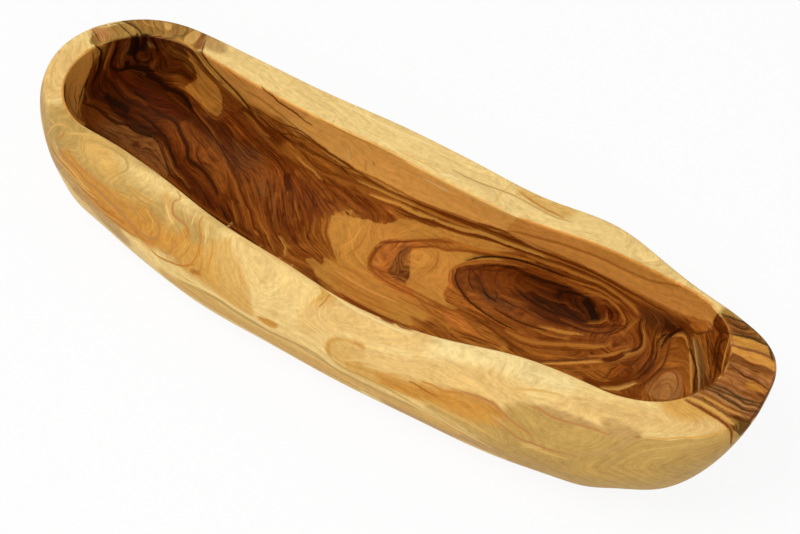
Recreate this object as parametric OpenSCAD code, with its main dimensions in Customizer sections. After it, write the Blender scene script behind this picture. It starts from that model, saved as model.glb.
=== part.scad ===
// Long dough bowl carved from one split block of olive wood.
// The top is sawn flat, the front keeps the slope of the log under its bark, and a
// round-bottomed trough is cut along the block. The walls are a loft: stations stand
// round a middle line that runs along the block, and each gives one section of the wall.
// Stations run from the left end of the back, along the back, round the right end,
// along the front to the left, and round the left end.

/* [Block] */
// Length over both ends
bowl_l = 402; // [340:1:480]
// Height from the foot to the sawn top
bowl_h = 58; // [48:1:75]
// How far the middle line wanders sideways along the block
bow_w = 13; // [0:0.5:20]

/* [Hollow] */
// Width of the mouth where it is widest
mouth_w = 85; // [70:1:100]
// Wood left under the hollow
floor_t = 12; // [6:1:20]
// Rounding of the edge round the mouth
lip_r = 1.2; // [0.5:0.1:2]
// Fullness of the trough's section, 1 for a plain ellipse
trough_share = 1.3; // [1:0.05:1.6]

/* [Rim] */
// Width of the flat top at the middle of the back
rim_w = 19; // [12:0.5:26]

/* [Outside] */
// How far the bark side slopes out below the top along the front
wane_w = 20; // [6:0.5:26]
// Fullness of that slope, 1 for a plain ellipse
wane_share = 0.8; // [0.7:0.05:1.1]
// Height of the widest line along the front
belly_h = 30; // [20:1:36]
// How far the sides draw in from there down to the foot
tuck_w = 20; // [10:0.5:26]
// Fullness of the curve down to the foot, 1 for a plain ellipse
foot_share = 1; // [0.85:0.05:1.2]

/* [Hidden] */

// Spans between stations along a side and round an end, and the steps in each span
side_count = 7;
end_count = 8;
steps = 4;
spans = 2 * (side_count + end_count);

// Rows of the section: foot, slope, lip and hollow
foot_rows = 8;
wane_rows = 9;
lip_rows = 3;
hollow_rows = 12;

// Sideways place of the middle line at each station of a side, as shares of bow_w
bow_shares = [0.7, 0.44, 0.11, 0.01, -0.16, 0.08, 0.81, 1];

// Half width of the mouth at each station, as shares of half of mouth_w
mouth_shares = [
    0.83, 0.85, 0.92, 0.97, 1, 0.95, 0.88, 0.83,
    0.87, 0.93, 0.98, 0.965, 0.92, 0.87, 0.83,
    0.835, 0.88, 0.95, 1, 0.97, 0.93, 0.85, 0.83,
    0.865, 0.89, 0.9, 0.875, 0.845, 0.81, 0.81
];

// Width of the flat top, as shares of rim_w
rim_shares = [
    0.6, 0.78, 0.87, 0.95, 1, 0.89, 0.78, 0.24,
    0.15, 0.42, 1.04, 1.21, 1.42, 1.18, 0.97,
    0.71, 0.42, 0.26, 0.21, 0.18, 0.18, 0.18, 0.21,
    0.32, 0.42, 0.54, 0.65, 0.66, 0.64, 0.61
];

// Slope outside the flat top, as shares of wane_w
wane_shares = [
    0.1, 0.1, 0.1, 0.1, 0.1, 0.15, 0.2, 0.25,
    0.2, 0.15, 0.08, 0.05, 0.1, 0.36, 0.45,
    0.86, 1.2, 0.85, 0.73, 0.91, 1.02, 1.08, 0.8,
    0.4, 0.26, 0.23, 0.13, 0.1, 0.1, 0.1
];

// Draw-in down to the foot, as shares of tuck_w
tuck_shares = [
    1, 1, 1, 1, 1, 1.1, 1.3, 1,
    0.95, 1.15, 1.45, 1.6, 1.55, 1.4, 1.2,
    1.05, 1, 1, 1, 1, 1, 1, 1,
    1.1, 1.2, 1.2, 1.2, 1.1, 1, 1
];

// Climb of the widest line from belly_h to the top, as shares of the height between
climb_shares = [
    0.22, 0.22, 0.22, 0.22, 0.22, 0.22, 0.22, 0.36,
    0.57, 0.72, 0.86, 0.9, 0.86, 0.64, 0.43,
    0.22, 0, 0, 0, 0, 0, 0, 0,
    0, 0.14, 0.36, 0.36, 0.22, 0.22, 0.22
];

// Fullness of the curve to the foot at each station, as shares of foot_share
foot_shares = [
    1, 1, 1, 1, 1, 1, 1, 1,
    0.9, 0.75, 0.6, 0.58, 0.72, 0.9, 1,
    1, 1, 1, 1, 1, 1, 1, 1,
    1, 1, 1, 1, 1, 1, 1
];

// Fullness of the trough at each station, as shares of trough_share
trough_shares = [
    1, 1, 1, 1, 1, 1, 1, 0.95,
    0.88, 0.82, 0.78, 0.77, 0.78, 0.82, 0.88,
    0.95, 1, 1, 1, 1, 1, 1, 1,
    1, 1, 1, 1, 1, 1, 1
];

// Stations where the two ends reach furthest, and the reach of the block there
left_tip = 2 * side_count + end_count + end_count / 2;
right_tip = side_count + end_count / 2;
left_reach = reach(left_tip);
right_reach = reach(right_tip);

// Centres of the two ends, and the length of a span along a side and round an end
left_x = left_reach - bowl_l / 2;
right_x = bowl_l / 2 - right_reach;
side_step = (right_x - left_x) / side_count;
end_step = PI * (mouth_w + rim_w) / 2 / end_count;

function reach(i) = mouth_shares[i] * mouth_w / 2 + rim_shares[i] * rim_w + wane_shares[i] * wane_w;

function wrapped(i) = (i + spans) % spans;

// Which of the four stretches a span belongs to: 0 back, 1 right end, 2 front, 3 left end
function stretch(i) = let (k = wrapped(i))
    k < side_count ? 0 :
    k < side_count + end_count ? 1 :
    k < 2 * side_count + end_count ? 2 : 3;

function span_l(i) = stretch(i) % 2 == 0 ? side_step : end_step;

// Cubic from value a to value b, with slopes u and v per unit length over the length h
function cubic(a, b, u, v, h, f) =
    (2 * pow(f, 3) - 3 * pow(f, 2) + 1) * a + (pow(f, 3) - 2 * pow(f, 2) + f) * h * u
    + (3 * pow(f, 2) - 2 * pow(f, 3)) * b + (pow(f, 3) - pow(f, 2)) * h * v;

// A table read at the share f of span i, smooth from station to station
function read(table, i, f) = let (
    before = table[wrapped(i - 1)],
    here = table[wrapped(i)],
    next = table[wrapped(i + 1)],
    after = table[wrapped(i + 2)],
    h = span_l(i),
    u = (next - before) / (span_l(i - 1) + h),
    v = (after - here) / (h + span_l(i + 1))
) cubic(here, next, u, v, h, f);

// Sideways place of the middle line, q spans from the left end's centre
function bow(q) = let (
    i = min(floor(q), side_count - 1),
    f = q - i,
    a = bow_shares[i],
    b = bow_shares[i + 1],
    u = i == 0 ? 0 : (b - bow_shares[i - 1]) / (2 * side_step),
    v = i == side_count - 1 ? 0 : (bow_shares[i + 2] - a) / (2 * side_step)
) bow_w * cubic(a, b, u, v, side_step, f);

// How many spans from the left end's centre a section stands, and where it faces
function along(i, f) = let (s = stretch(i))
    s == 0 ? i + f :
    s == 1 ? side_count :
    s == 2 ? 2 * side_count + end_count - i - f : 0;
function facing(i, f) = let (s = stretch(i))
    s == 0 ? 90 :
    s == 1 ? 90 - 180 * (i + f - side_count) / end_count :
    s == 2 ? -90 : -90 - 180 * (i + f - 2 * side_count - end_count) / end_count;

// Point on a quarter of an oval of the given fullness, at the share t from its side to its tip
function oval_across(t, full) = t >= 1 ? 0 : pow(cos(90 * t), 1 / full);
function oval_up(t, full) = t >= 1 ? 1 : pow(sin(90 * t), 1 / full);

// Section of the wall: distance from the middle line and height, from the foot's edge up
// the outside, over the rim and down the hollow to just short of the middle line
function section(mouth, rim, wane, tuck, belly, foot, trough) = let (
    top = mouth + rim,
    foot_edge = top + wane - tuck,
    depth = bowl_h - lip_r - floor_t
) [
    for (k = [0 : foot_rows]) let (t = 1 - k / foot_rows)
        [foot_edge + tuck * oval_across(t, foot), belly * (1 - oval_up(t, foot))],
    for (k = [1 : wane_rows]) let (t = k / wane_rows)
        [top + wane * oval_across(t, wane_share), belly + (bowl_h - belly) * oval_up(t, wane_share)],
    [mouth + lip_r + (rim - lip_r) / 2, bowl_h],
    for (k = [0 : lip_rows]) let (a = 90 * k / lip_rows)
        [mouth + lip_r * (1 - sin(a)), bowl_h - lip_r * (1 - cos(a))],
    for (k = [1 : hollow_rows - 1]) let (t = k / hollow_rows)
        [mouth * oval_across(t, trough), bowl_h - lip_r - depth * oval_up(t, trough)]
];

// One section in place, before the block is centred
function column(i, f) = let (
    q = along(i, f),
    a = facing(i, f),
    x = left_x + side_step * q,
    y = bow(q),
    profile = section(
        mouth_w / 2 * read(mouth_shares, i, f),
        rim_w * read(rim_shares, i, f),
        wane_w * read(wane_shares, i, f),
        tuck_w * read(tuck_shares, i, f),
        belly_h + (bowl_h - belly_h) * read(climb_shares, i, f),
        foot_share * read(foot_shares, i, f),
        trough_share * read(trough_shares, i, f)
    )
) [for (p = profile) [x + p[0] * cos(a), y + p[0] * sin(a), p[1]]];

columns = [for (i = [0 : spans - 1]) for (j = [0 : steps - 1]) column(i, j / steps)];
rows = len(columns[0]);
count = len(columns);
loft = [for (c = columns) for (p = c) p];

// Lowest line of the hollow, along the middle line
line_steps = side_count * steps;
valley = [for (k = [0 : line_steps]) [left_x + side_step * k / steps, bow(k / steps), floor_t]];

// Middle of the block, so that it stands centred on the origin
mid_x = (max([for (p = loft) p[0]]) + min([for (p = loft) p[0]])) / 2;
mid_y = (max([for (p = loft) p[1]]) + min([for (p = loft) p[1]])) / 2;

// Place in the list of points of a point of the loft, and of the valley below a column
function at(c, r) = (c % count) * rows + r;
function below(c) = let (k = c % count, i = floor(k / steps), f = k / steps - i)
    count * rows + round(along(i, f) * steps);

foot_face = [for (c = [count - 1 : -1 : 0]) at(c, 0)];
wall_faces = [
    for (c = [0 : count - 1]) for (r = [0 : rows - 2])
        each [[at(c, r), at(c + 1, r), at(c + 1, r + 1)], [at(c, r), at(c + 1, r + 1), at(c, r + 1)]]
];
floor_faces = [
    for (c = [0 : count - 1]) each [
        [at(c, rows - 1), at(c + 1, rows - 1), below(c)],
        if (below(c) != below(c + 1)) [at(c + 1, rows - 1), below(c + 1), below(c)]
    ]
];

// The whole bowl is one piece of wood: foot, sides, sawn rim and hollow
module bowl() {
    color("#D9B56E")
    translate([-mid_x, -mid_y, 0])
    polyhedron(points = concat(loft, valley), faces = concat([foot_face], wall_faces, floor_faces));
}

bowl();
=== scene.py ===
"""Looks of the dough bowl: one carved block of olive wood on a pale studio floor."""
import math

import bmesh
import bpy
import numpy as np
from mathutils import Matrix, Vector, noise
from mathutils.bvhtree import BVHTree
from mathutils.kdtree import KDTree


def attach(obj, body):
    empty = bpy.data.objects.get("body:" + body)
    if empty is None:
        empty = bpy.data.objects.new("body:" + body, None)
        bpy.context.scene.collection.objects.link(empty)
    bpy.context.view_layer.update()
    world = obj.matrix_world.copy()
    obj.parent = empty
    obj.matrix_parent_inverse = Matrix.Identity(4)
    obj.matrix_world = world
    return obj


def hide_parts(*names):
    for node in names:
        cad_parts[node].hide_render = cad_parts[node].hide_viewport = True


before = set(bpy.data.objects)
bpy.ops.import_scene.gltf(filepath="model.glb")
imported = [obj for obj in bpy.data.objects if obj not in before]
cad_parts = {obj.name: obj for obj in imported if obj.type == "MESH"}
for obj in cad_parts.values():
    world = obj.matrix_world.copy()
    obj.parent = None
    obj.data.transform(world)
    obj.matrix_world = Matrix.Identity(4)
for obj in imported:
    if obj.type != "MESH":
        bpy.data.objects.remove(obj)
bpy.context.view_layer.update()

# The block. One piece of olive wood, carved with a gouge and sanded. Its shape
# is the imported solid's, rounded between the facets and cut finer where the
# figure of the wood is laid on it.

MM = 0.001
FINE_MM = 1.65
FINE_BACK_MM = 3.4
DOUBLES_MM = 0.001
SAME_FACET = math.radians(40)
FOOT_BAND_MM = 0.5


def merged_copy(node):
    """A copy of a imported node's mesh in millimetres, with its doubles merged."""
    cut = bmesh.new()
    cut.from_mesh(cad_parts[node].data)
    bmesh.ops.scale(cut, vec=(1 / MM,) * 3, verts=cut.verts)
    bmesh.ops.remove_doubles(cut, verts=cut.verts, dist=DOUBLES_MM)
    bmesh.ops.join_triangles(cut, faces=cut.faces, angle_face_threshold=SAME_FACET,
                             angle_shape_threshold=math.pi, cmp_seam=False)
    return cut


def rounded(cut, name):
    """The mesh after one step of subdivision, as a new bmesh."""
    mesh = bpy.data.meshes.new(name)
    cut.to_mesh(mesh)
    cut.free()
    thing = bpy.data.objects.new(name, mesh)
    bpy.context.scene.collection.objects.link(thing)
    step = thing.modifiers.new("round", "SUBSURF")
    step.levels = step.render_levels = 1
    graph = bpy.context.evaluated_depsgraph_get()
    new = bmesh.new()
    new.from_mesh(thing.evaluated_get(graph).to_mesh())
    bpy.data.objects.remove(thing)
    bpy.data.meshes.remove(mesh)
    return new


body = merged_copy("bowl")
foot = [f for f in body.faces if f.normal.z < -0.9 and f.calc_center_median().z < FOOT_BAND_MM]
bmesh.ops.delete(body, geom=foot, context="FACES")
body = rounded(body, "block")

# The figure. The heartwood's dark veins, the knot and the paler sapwood run through
# the block; a few lines and a patch among them are painted shade or a painted
# highlight, as noted where they stand. Each is drawn as it shows from above the front,
# in mm on the plane of the rim, and laid onto the wood along that line of sight.

RIM_Z = 58.0
EYE_TARGET = Vector((20.6, -16.2, 58.0))
EYE_AZIMUTH, EYE_ELEVATION, EYE_DISTANCE = math.radians(33), math.radians(53), 1200.0
EYE_BACK = Vector((math.sin(EYE_AZIMUTH) * math.cos(EYE_ELEVATION),
                   -math.cos(EYE_AZIMUTH) * math.cos(EYE_ELEVATION), math.sin(EYE_ELEVATION)))
EYE = EYE_TARGET + EYE_BACK * EYE_DISTANCE

TONES = {
    "coal": 0x160802, "black": 0x260D02, "dark": 0x381402, "umber": 0x4A1D02, "brown": 0x5C2706,
    "russet": 0x6E3308, "rust": 0x803F0F, "leather": 0x8E4C17, "copper": 0x9C581E, "amber": 0xAA6623,
    "tan": 0xB8742B, "honey": 0xC48234, "sand": 0xCE923F, "straw": 0xDAA450, "bark": 0xE0B05C,
    "sap": 0xE9C078, "pale": 0xF0CE86, "cream": 0xF8DC98,
    "red": 0x602208, "glow": 0xC87A28, "ember": 0xA8581D, "ash": 0x463014, "grey": 0x765626,
    "olive": 0xA47C3A, "stain": 0xC0985C, "wheat": 0xE09A44, "clay": 0xB88048,
    "dun": 0x6E3C18, "drab": 0x8C5628, "rose": 0xAA6E3C,
    "peach": 0xF4B258, "apricot": 0xE49B4C, "ochre": 0xC87630, "reed": 0xC29C56, "oat": 0xDCAE60,
}


def linear(tone):
    """A tone's colour as the renderer's linear values."""
    code = TONES[tone]
    out = []
    for shift in (16, 8, 0):
        c = ((code >> shift) & 255) / 255
        out.append(c / 12.92 if c <= 0.04045 else ((c + 0.055) / 1.055) ** 2.4)
    return np.array(out)


def spline(points, step):
    """A smooth line through the points, sampled every step millimetres."""
    p = np.array(points, float)
    if len(p) == 2:
        n = max(2, int(np.hypot(*(p[1] - p[0])) / step) + 1)
        t = np.linspace(0, 1, n)[:, None]
        return p[0] * (1 - t) + p[1] * t
    q = np.vstack([2 * p[0] - p[1], p, 2 * p[-1] - p[-2]])
    out = []
    for a, b, c, d in zip(q, q[1:], q[2:], q[3:]):
        n = max(1, int(np.hypot(*(c - b)) / step))
        t = (np.arange(n) / n)[:, None]
        out.append(0.5 * (2 * b + (c - a) * t + (2 * a - 5 * b + 4 * c - d) * t ** 2
                          + (3 * b - a - 3 * c + d) * t ** 3))
    return np.vstack(out + [p[-1:]])


STEP_MM, STAIN_STEP_MM = 0.8, 1.6
LEAP = 5


def laid(tree, points, step=STEP_MM):
    """The line's places on the wood and the wood's normals there, in unbroken runs."""
    runs, here = [], []
    for x, y in spline(points, step):
        aim = (Vector((x, y, RIM_Z)) - EYE).normalized()
        hit, normal, _, _ = tree.ray_cast(EYE, aim)
        if hit is None:
            if here:
                runs.append(here)
            here = []
            continue
        if here and (hit - here[-1][0]).length > LEAP * step:
            runs.append(here)
            here = []
        here.append((hit, normal))
    if here:
        runs.append(here)
    return [(np.array([h for h, _ in r]), np.array([n for _, n in r])) for r in runs if len(r) > 1]


# The veins and streaks, and a few lines of painted shade and highlight: tone, width in mm,
# then places from one end to the other
VEINS_AND_PAINTED_LIGHT = [
    ("cream", 0.8, [(-29, 43.4), (-22, 42.6), (-11, 42.7), (-5.8, 42.5), (-0.6, 43), (5.3, 42.2),
        (10.5, 43.5), (15.8, 43.8)]),
    ("cream", 0.6, [(-60, 52.5), (-48, 53.3), (-32, 53), (-20, 54), (-5, 54.6)]),
    ("stain", 1, [(-60, -77), (-50, -78), (-40, -78.5), (-30, -79.5), (-20, -80), (-10, -80.5), (-5, -80.3),
        (5, -79.8), (20, -80.7), (30, -81.5), (40, -81.3), (50, -80.8), (60, -80.3), (75, -79.3),
        (85, -79.2), (100, -79), (115, -78.5)]),
    ("pale", 0.8, [(-60, -76.2), (-50, -76.6), (-40, -77.2), (-30, -78.2), (-22, -78.8)]),
    ("bark", 0.6, [(0, 39), (10, 38.3), (20, 38), (26, 37.6), (35, 37.4), (45, 37.8), (52, 38.6)]),
    ("glow", 1.2, [(27.5, 37.2), (28.5, 36.2)]),
    ("pale", 0.7, [(0, 35.5), (8, 35), (16, 34.6)]),
    ("stain", 0.6, [(10, 47.3), (20, 47.2), (28, 48), (35, 49), (40, 49.7), (46, 50), (55, 49.5),
        (65, 49.3), (70, 50), (75, 51.2)]),
    ("honey", 1, [(45, 53.4), (50, 52.2), (56, 51.4), (60, 51.1), (66, 51.2), (70, 51)]),
    ("bark", 0.4, [(38, 55), (37.9, 51), (37, 48), (37, 45), (37.6, 41.5)]),
    ("tan", 1.3, [(53, 30.5), (57, 32), (62, 33.2), (66, 34.1), (70, 35.2), (75, 36.6), (80, 37.6),
        (85, 38.4), (90, 39.2), (95, 39.8), (100, 40.2), (110, 40.2), (116, 40.6), (122, 41), (127, 42.1),
        (130, 43.4), (134, 44.8), (138, 46)]),
    ("amber", 0.9, [(-35, 22.3), (-29, 21.8), (-20, 22.3), (-10, 22.2), (0, 21.9), (5, 22), (10, 22.3),
        (15, 23), (20, 23.7), (25, 24.5), (30, 25.2), (35, 25.7), (40, 26.7)]),
    ("rust", 1.7, [(38, 26.3), (42, 27), (45, 27.5), (48, 28.2), (51, 28.8), (54, 29.2)]),
    ("sand", 0.8, [(53, 29), (60, 28.9), (66, 28.9), (70, 29), (76, 29.8)]),
    ("russet", 1.3, [(0, 20.3), (5, 20.5), (10, 20.8), (15, 21.6), (20, 22.1), (25, 23), (30, 23.7),
        (35, 24.3), (40, 25.2), (45, 25.6), (50, 26), (55, 26.3), (60, 26.8), (65, 27), (70, 27.6),
        (75, 28.3), (80, 29), (85, 29.6), (90, 30), (95, 30.5), (100, 30.6), (105, 30.5), (110, 30.2),
        (115, 30), (120, 30), (125, 29.9), (130, 29.6), (135, 29.3), (138, 29.4), (142, 28.1), (146, 27.3),
        (150, 27), (153, 26.2), (157, 26.3), (158.5, 27.5), (159.5, 29), (161.5, 30.3)]),
    ("russet", 1, [(14, 21), (20, 21.2), (25, 21.9), (30, 22.4), (35, 22.9), (40, 23.3), (45, 24),
        (50, 24.6), (55, 25.2), (60, 25.9), (66, 26.5)]),
    ("russet", 0.8, [(0, 17), (5, 17.3), (10, 17.6), (15, 17.8), (20, 18.4), (25, 18.8), (30, 19.5),
        (35, 20.3), (39, 21.2)]),
    ("tan", 0.8, [(0, 18.6), (10, 19), (20, 19.7), (30, 20.8), (36, 21.8), (41, 22.6)]),
    ("sand", 1.9, [(20, 16.7), (25, 17.3), (30, 18.3), (35, 19.4), (38, 20.5), (41, 21.7), (45, 22.5),
        (50, 23), (55, 23.5), (60, 24.2), (65, 25), (70, 25.8), (75, 26.1)]),
    ("russet", 1.9, [(0, 12.7), (5, 13.2), (10, 13.5), (15, 14), (20, 14.8), (25, 15.5), (30, 16.2),
        (35, 17.2), (38, 18.3), (42, 19.5), (46, 20.6), (50, 21.6), (55, 22.1), (60, 23), (65, 23.8),
        (69, 24.4), (75, 24.9), (80, 26), (85, 27), (90, 27.8), (95, 28.1), (100, 28.4), (105, 28.6),
        (110, 28.2), (115, 27.6), (119, 26.7), (124, 26.2), (129, 25.7), (133, 24.5)]),
    ("russet", 1.2, [(0, 11), (5, 11), (10, 11.8), (16, 12.4), (22, 13.2)]),
    ("amber", 0.8, [(72, 26.3), (78, 27.2), (85, 28.3), (95, 29.5), (105, 29.7), (115, 29), (125, 28.1)]),
    ("tan", 1.7, [(68, 22.2), (75, 23), (80, 24), (85, 25), (90, 25.3), (95, 25.8), (100, 26.5),
        (105, 26.9), (110, 26.5), (115, 25.6), (120, 24.6), (125, 23.2), (128.5, 21)]),
    ("russet", 0.9, [(70, 21.3), (76, 22), (80, 21.6), (84, 21.2), (90, 22), (95, 22.8), (100, 24),
        (105, 24.9), (110, 24.6), (115, 23.9), (120, 22.7), (124, 21.3), (127.5, 19)]),
    ("amber", 1.1, [(88, 20.5), (93, 21.2), (98, 22), (103, 23.2), (108, 23.4), (113, 22.8), (118, 21.5)]),
    ("brown", 0.7, [(90, 19.8), (96, 20.6), (101, 21.5), (106, 22.4), (111, 22.2), (116, 21.2), (120, 20),
        (123, 18.4)]),
    ("amber", 1.2, [(92, 18.3), (97, 19.1), (102, 19.9), (107, 20.8), (112, 21), (116, 20.2), (119, 19),
        (122, 17.3), (124.5, 15.3), (125.7, 13)]),
    ("umber", 0.6, [(118, 20.7), (122, 18.6), (125.3, 16), (126.6, 13.6), (127, 11)]),
    ("dark", 0.7, [(112, 19), (116, 18.4), (119, 17), (121.5, 14.8), (122.5, 12.4)]),
    ("rust", 0.6, [(113, 18.1), (117, 16.9), (119.5, 14.8), (120.5, 12.5)]),
    ("dark", 1.3, [(113.5, 17), (117, 15.5), (119, 13), (119.6, 10.6)]),
    ("copper", 1.4, [(117.8, 10.2), (120.3, 9.8)]),
    ("rust", 1.8, [(110.6, 13.2), (111.6, 11.8)]),
    ("rust", 1.5, [(70, 16), (76, 16.7), (80, 18.5), (83, 20), (86, 20.9), (88.5, 20.4)]),
    ("rust", 0.8, [(68, 13.5), (74, 14.6), (80, 15.4), (86, 16.6), (92, 17.3), (98, 17.6)]),
    ("black", 1.5, [(90, 12), (93, 13.5), (97, 15.2), (101, 16), (104.5, 16.2)]),
    ("black", 0.9, [(95, 5.6), (100, 4.5), (105, 4), (110, 4.1), (114.5, 6)]),
    ("russet", 0.9, [(97, 7.9), (101, 7.2), (105, 7.6)]),
    ("umber", 1.1, [(75, 2.5), (78, 1.8), (82, 0.9), (87, 0), (92, -0.5), (96, -0.3), (101, 0.3),
        (106, 0.6), (111, 2), (116, 4), (119.5, 6.5)]),
    ("black", 0.7, [(84, 4), (90, 2.6), (96, 1.9), (103, 2), (109, 2.6)]),
    ("leather", 0.8, [(100, -1.3), (106, -0.5), (112, 0.4), (117, 2), (121, 4.6), (123.5, 8), (124.4, 11)]),
    ("umber", 0.7, [(88, -3.3), (95, -3), (102, -2.4), (108, -1.4), (114, -0.2), (119, 2), (122.5, 5),
        (124.3, 9.4), (124.6, 13)]),
    ("brown", 0.9, [(70, -5.6), (75, -6.3), (82, -5.8), (88, -6.4), (94, -5.9), (99, -4.7), (104, -3)]),
    ("honey", 1.9, [(94, -10), (100, -8.1), (104, -6.8), (108, -5.3), (112.5, -3.2)]),
    ("leather", 0.8, [(92, -11), (98, -9.8), (104, -8.3), (109, -6.6), (114, -4.3), (118, -2.2)]),
    ("rust", 0.7, [(108, -8.4), (112, -6.8), (116, -4.8), (120, -2.4), (123.5, 0.8), (125.5, 4)]),
    ("umber", 0.8, [(122, 2.5), (125, 6), (126.8, 10), (127.3, 14)]),
    ("amber", 1, [(128.8, 7.5), (128.9, 11), (129.5, 15), (130.3, 18)]),
    ("umber", 1.5, [(131, 19.7), (132, 16.3), (134, 13.1), (136, 10.7), (138, 8), (138.5, 5), (137, 2),
        (134.4, -0.4), (132, -3)]),
    ("honey", 1.3, [(134.6, 15), (137, 12), (138.8, 9), (139.7, 5), (138.5, 2), (136, -1), (134.5, -5),
        (131.5, -9)]),
    ("drab", 0.8, [(132.6, 19.5), (133.3, 16.8), (134.8, 14)]),
    ("umber", 0.6, [(133.3, 21.5), (134.3, 18), (136, 15.5), (138.3, 13)]),
    ("black", 0.9, [(127.5, 21.5), (128, 17), (128, 12), (127.8, 8), (129, 4), (130, 1)]),
    ("tan", 1.6, [(135, 1.6), (132.5, -1.4), (130, -5), (127, -8), (124, -10.3), (121, -12.2)]),
    ("brown", 2.8, [(134, -2.5), (133, -5), (131, -8), (128, -10.5)]),
    ("umber", 1, [(140, 20), (141, 15), (142.8, 10), (144.8, 5.5), (145.6, 0), (145.3, -5), (144, -10)]),
    ("umber", 0.8, [(143, 13), (145.5, 9), (147.5, 4.5), (148, -1), (147, -8), (144.6, -13)]),
    ("rust", 0.8, [(147, 10), (149, 6), (150, 1), (149.8, -5), (148, -10), (145, -15)]),
    ("brown", 0.9, [(148.5, 15.5), (150, 11.5), (151.5, 7), (152.3, 2), (151.8, -4), (150.5, -10),
        (148.5, -15)]),
    ("brown", 2.6, [(147.2, 26.3), (150.5, 26.2)]),
    ("coal", 1.9, [(149.8, 24), (147.8, 20.3), (146, 18.6), (144.3, 16.8)]),
    ("coal", 1, [(144.4, 17), (143.8, 13.5), (144.6, 10)]),
    ("umber", 1.5, [(151, 24.6), (154, 22.4), (156.2, 20), (158.5, 17), (160, 15.5), (163, 12.5),
        (165.5, 10), (167, 7), (168.5, 3), (170.5, -1), (172, -4.2)]),
    ("umber", 0.7, [(161.5, 12.8), (164, 9), (166.3, 5), (168.3, 1.6), (170, -1.6)]),
    ("sand", 1.6, [(158, 18), (160, 14.2), (162.7, 10.2), (165, 6.3), (167, 2.6), (169, -0.6),
        (170.6, -4)]),
    ("honey", 1.6, [(147, 13.4), (146.8, 16.5), (148.5, 19.3), (150.8, 21.4), (153, 21.5), (155, 20),
        (157.5, 17.3)]),
    ("leather", 0.8, [(154.5, -16), (153.8, -12), (153.4, -8), (154, -4), (155.2, 0), (157.5, 1.7),
        (160, 1), (162.5, -1.5), (164, -5), (164.4, -9)]),
    ("umber", 1.6, [(169.5, 31), (168.5, 27.5), (170, 23), (172, 18), (174, 13), (175.5, 9), (176, 5),
        (174.9, 1)]),
    ("umber", 1, [(166, 32), (166.4, 28), (167.8, 24), (169.8, 19.6), (171.3, 15)]),
    ("leather", 0.8, [(163.5, 31), (164, 26), (166, 21.5), (168.5, 17)]),
    ("wheat", 2.2, [(170.7, 32.3), (172, 28), (173.5, 23), (175.2, 18), (177, 13.3)]),
    ("russet", 0.8, [(173.6, 29.3), (174.2, 25), (175.6, 20), (177, 15.6), (178.1, 12)]),
    ("sand", 0.6, [(174.6, 29), (175.6, 24), (176.8, 19), (178, 14.5)]),
    ("brown", 1.3, [(160, 41.2), (160, 38), (161, 35.3), (163, 33.5), (165.6, 33.3), (168.3, 34.3)]),
    ("tan", 0.9, [(163.5, 40.2), (167, 37.5), (169.4, 35.2)]),
    ("dark", 0.8, [(162.7, 31.4), (160, 31.8)]),
    ("ash", 1, [(163, 42), (168, 43.3), (172, 43.8), (176, 43.7)]),
    ("ash", 1.3, [(172, 44.2), (180, 42.6), (188, 40.1), (191, 37.7), (194, 34.3), (198, 27.3),
        (199.6, 20)]),
    ("dun", 1.2, [(199.6, 19), (200.3, 12), (200.6, 4), (200.6, -4), (200.2, -11)]),
    ("ash", 1.4, [(169.8, 34.9), (173, 35.8), (176, 36.8), (180, 38), (184, 38), (188.5, 38.2)]),
    ("amber", 1.2, [(176, 39.5), (178, 41.5)]),
    ("rust", 0.7, [(173.5, 29.6), (178, 30), (183, 31.5)]),
    ("drab", 1.6, [(183, 31.6), (187, 32.6), (190, 32.8), (195.5, 33)]),
    ("rust", 0.7, [(175, 25.3), (180, 25.4), (185, 24.9), (188, 25.5), (192, 26.4), (197.5, 26)]),
    ("brown", 1.2, [(178.5, 18.8), (184, 18.1), (187, 17.1), (191, 17.8), (194, 17.5), (199.4, 16.4)]),
    ("russet", 1.1, [(182.6, 11.6), (184, 10.6)]),
    ("leather", 0.8, [(177, 8.2), (181, 8.8), (185, 9), (190, 8), (195, 9.2), (200, 10)]),
    ("ash", 1, [(177, 5.2), (181, 6), (184.5, 6.3), (190, 5.4), (194, 6.2), (200.3, 7.9)]),
    ("rose", 0.8, [(184, 7.6), (190, 6.8), (196, 7.6), (200, 8.9)]),
    ("ash", 1.1, [(175.6, 3), (180, 3.9), (184, 4.2), (190, 4.7), (194, 3.9), (197, 5.2), (200.5, 5.7)]),
    ("clay", 0.8, [(184, 3.2), (190, 3.2), (194, 2.5), (198, 4), (200.5, 4.3)]),
    ("ash", 1.2, [(175, 1.4), (180, 2.1), (185, 1.6), (190, 1.4), (195, 0.8), (200.6, 2.7)]),
    ("clay", 0.9, [(177, 0.5), (184, 0.2), (191, -0.3), (196, -0.6)]),
    ("russet", 0.7, [(174, -1.2), (180, -1.5), (187, -1.9), (195, -1.3), (200.5, -0.6)]),
    ("sand", 1.2, [(174, -3), (182, -2.9), (190, -3.4), (195, -3)]),
    ("brown", 1.6, [(171.9, -5.2), (180, -4.8), (188, -5.8), (194, -5.4), (200.5, -4)]),
    ("straw", 2.2, [(170.6, -7.2), (180, -6.7), (190, -7.7), (195, -8.8)]),
    ("rust", 1.3, [(170.8, -9), (180, -9.3), (188, -9.9), (194, -11.2), (197, -14), (199.5, -19)]),
    ("brown", 0.9, [(168.5, -6.2), (170, -8.2)]),
    ("amber", 0.8, [(-8, -24.6), (-7, -26.6)]),
    ("wheat", 0.5, [(-13, -10), (-8, -15), (-3, -20), (5, -24.4)]),
    ("russet", 1, [(5, -9.4), (8, -7), (10, -5.3), (13, -3.3), (16, -1), (18, 0.6), (20, 2.1)]),
    ("leather", 2, [(19, 1.4), (22.5, 3.7), (25, 5.6), (28, 7.1), (31, 8.3), (34, 9.6)]),
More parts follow.
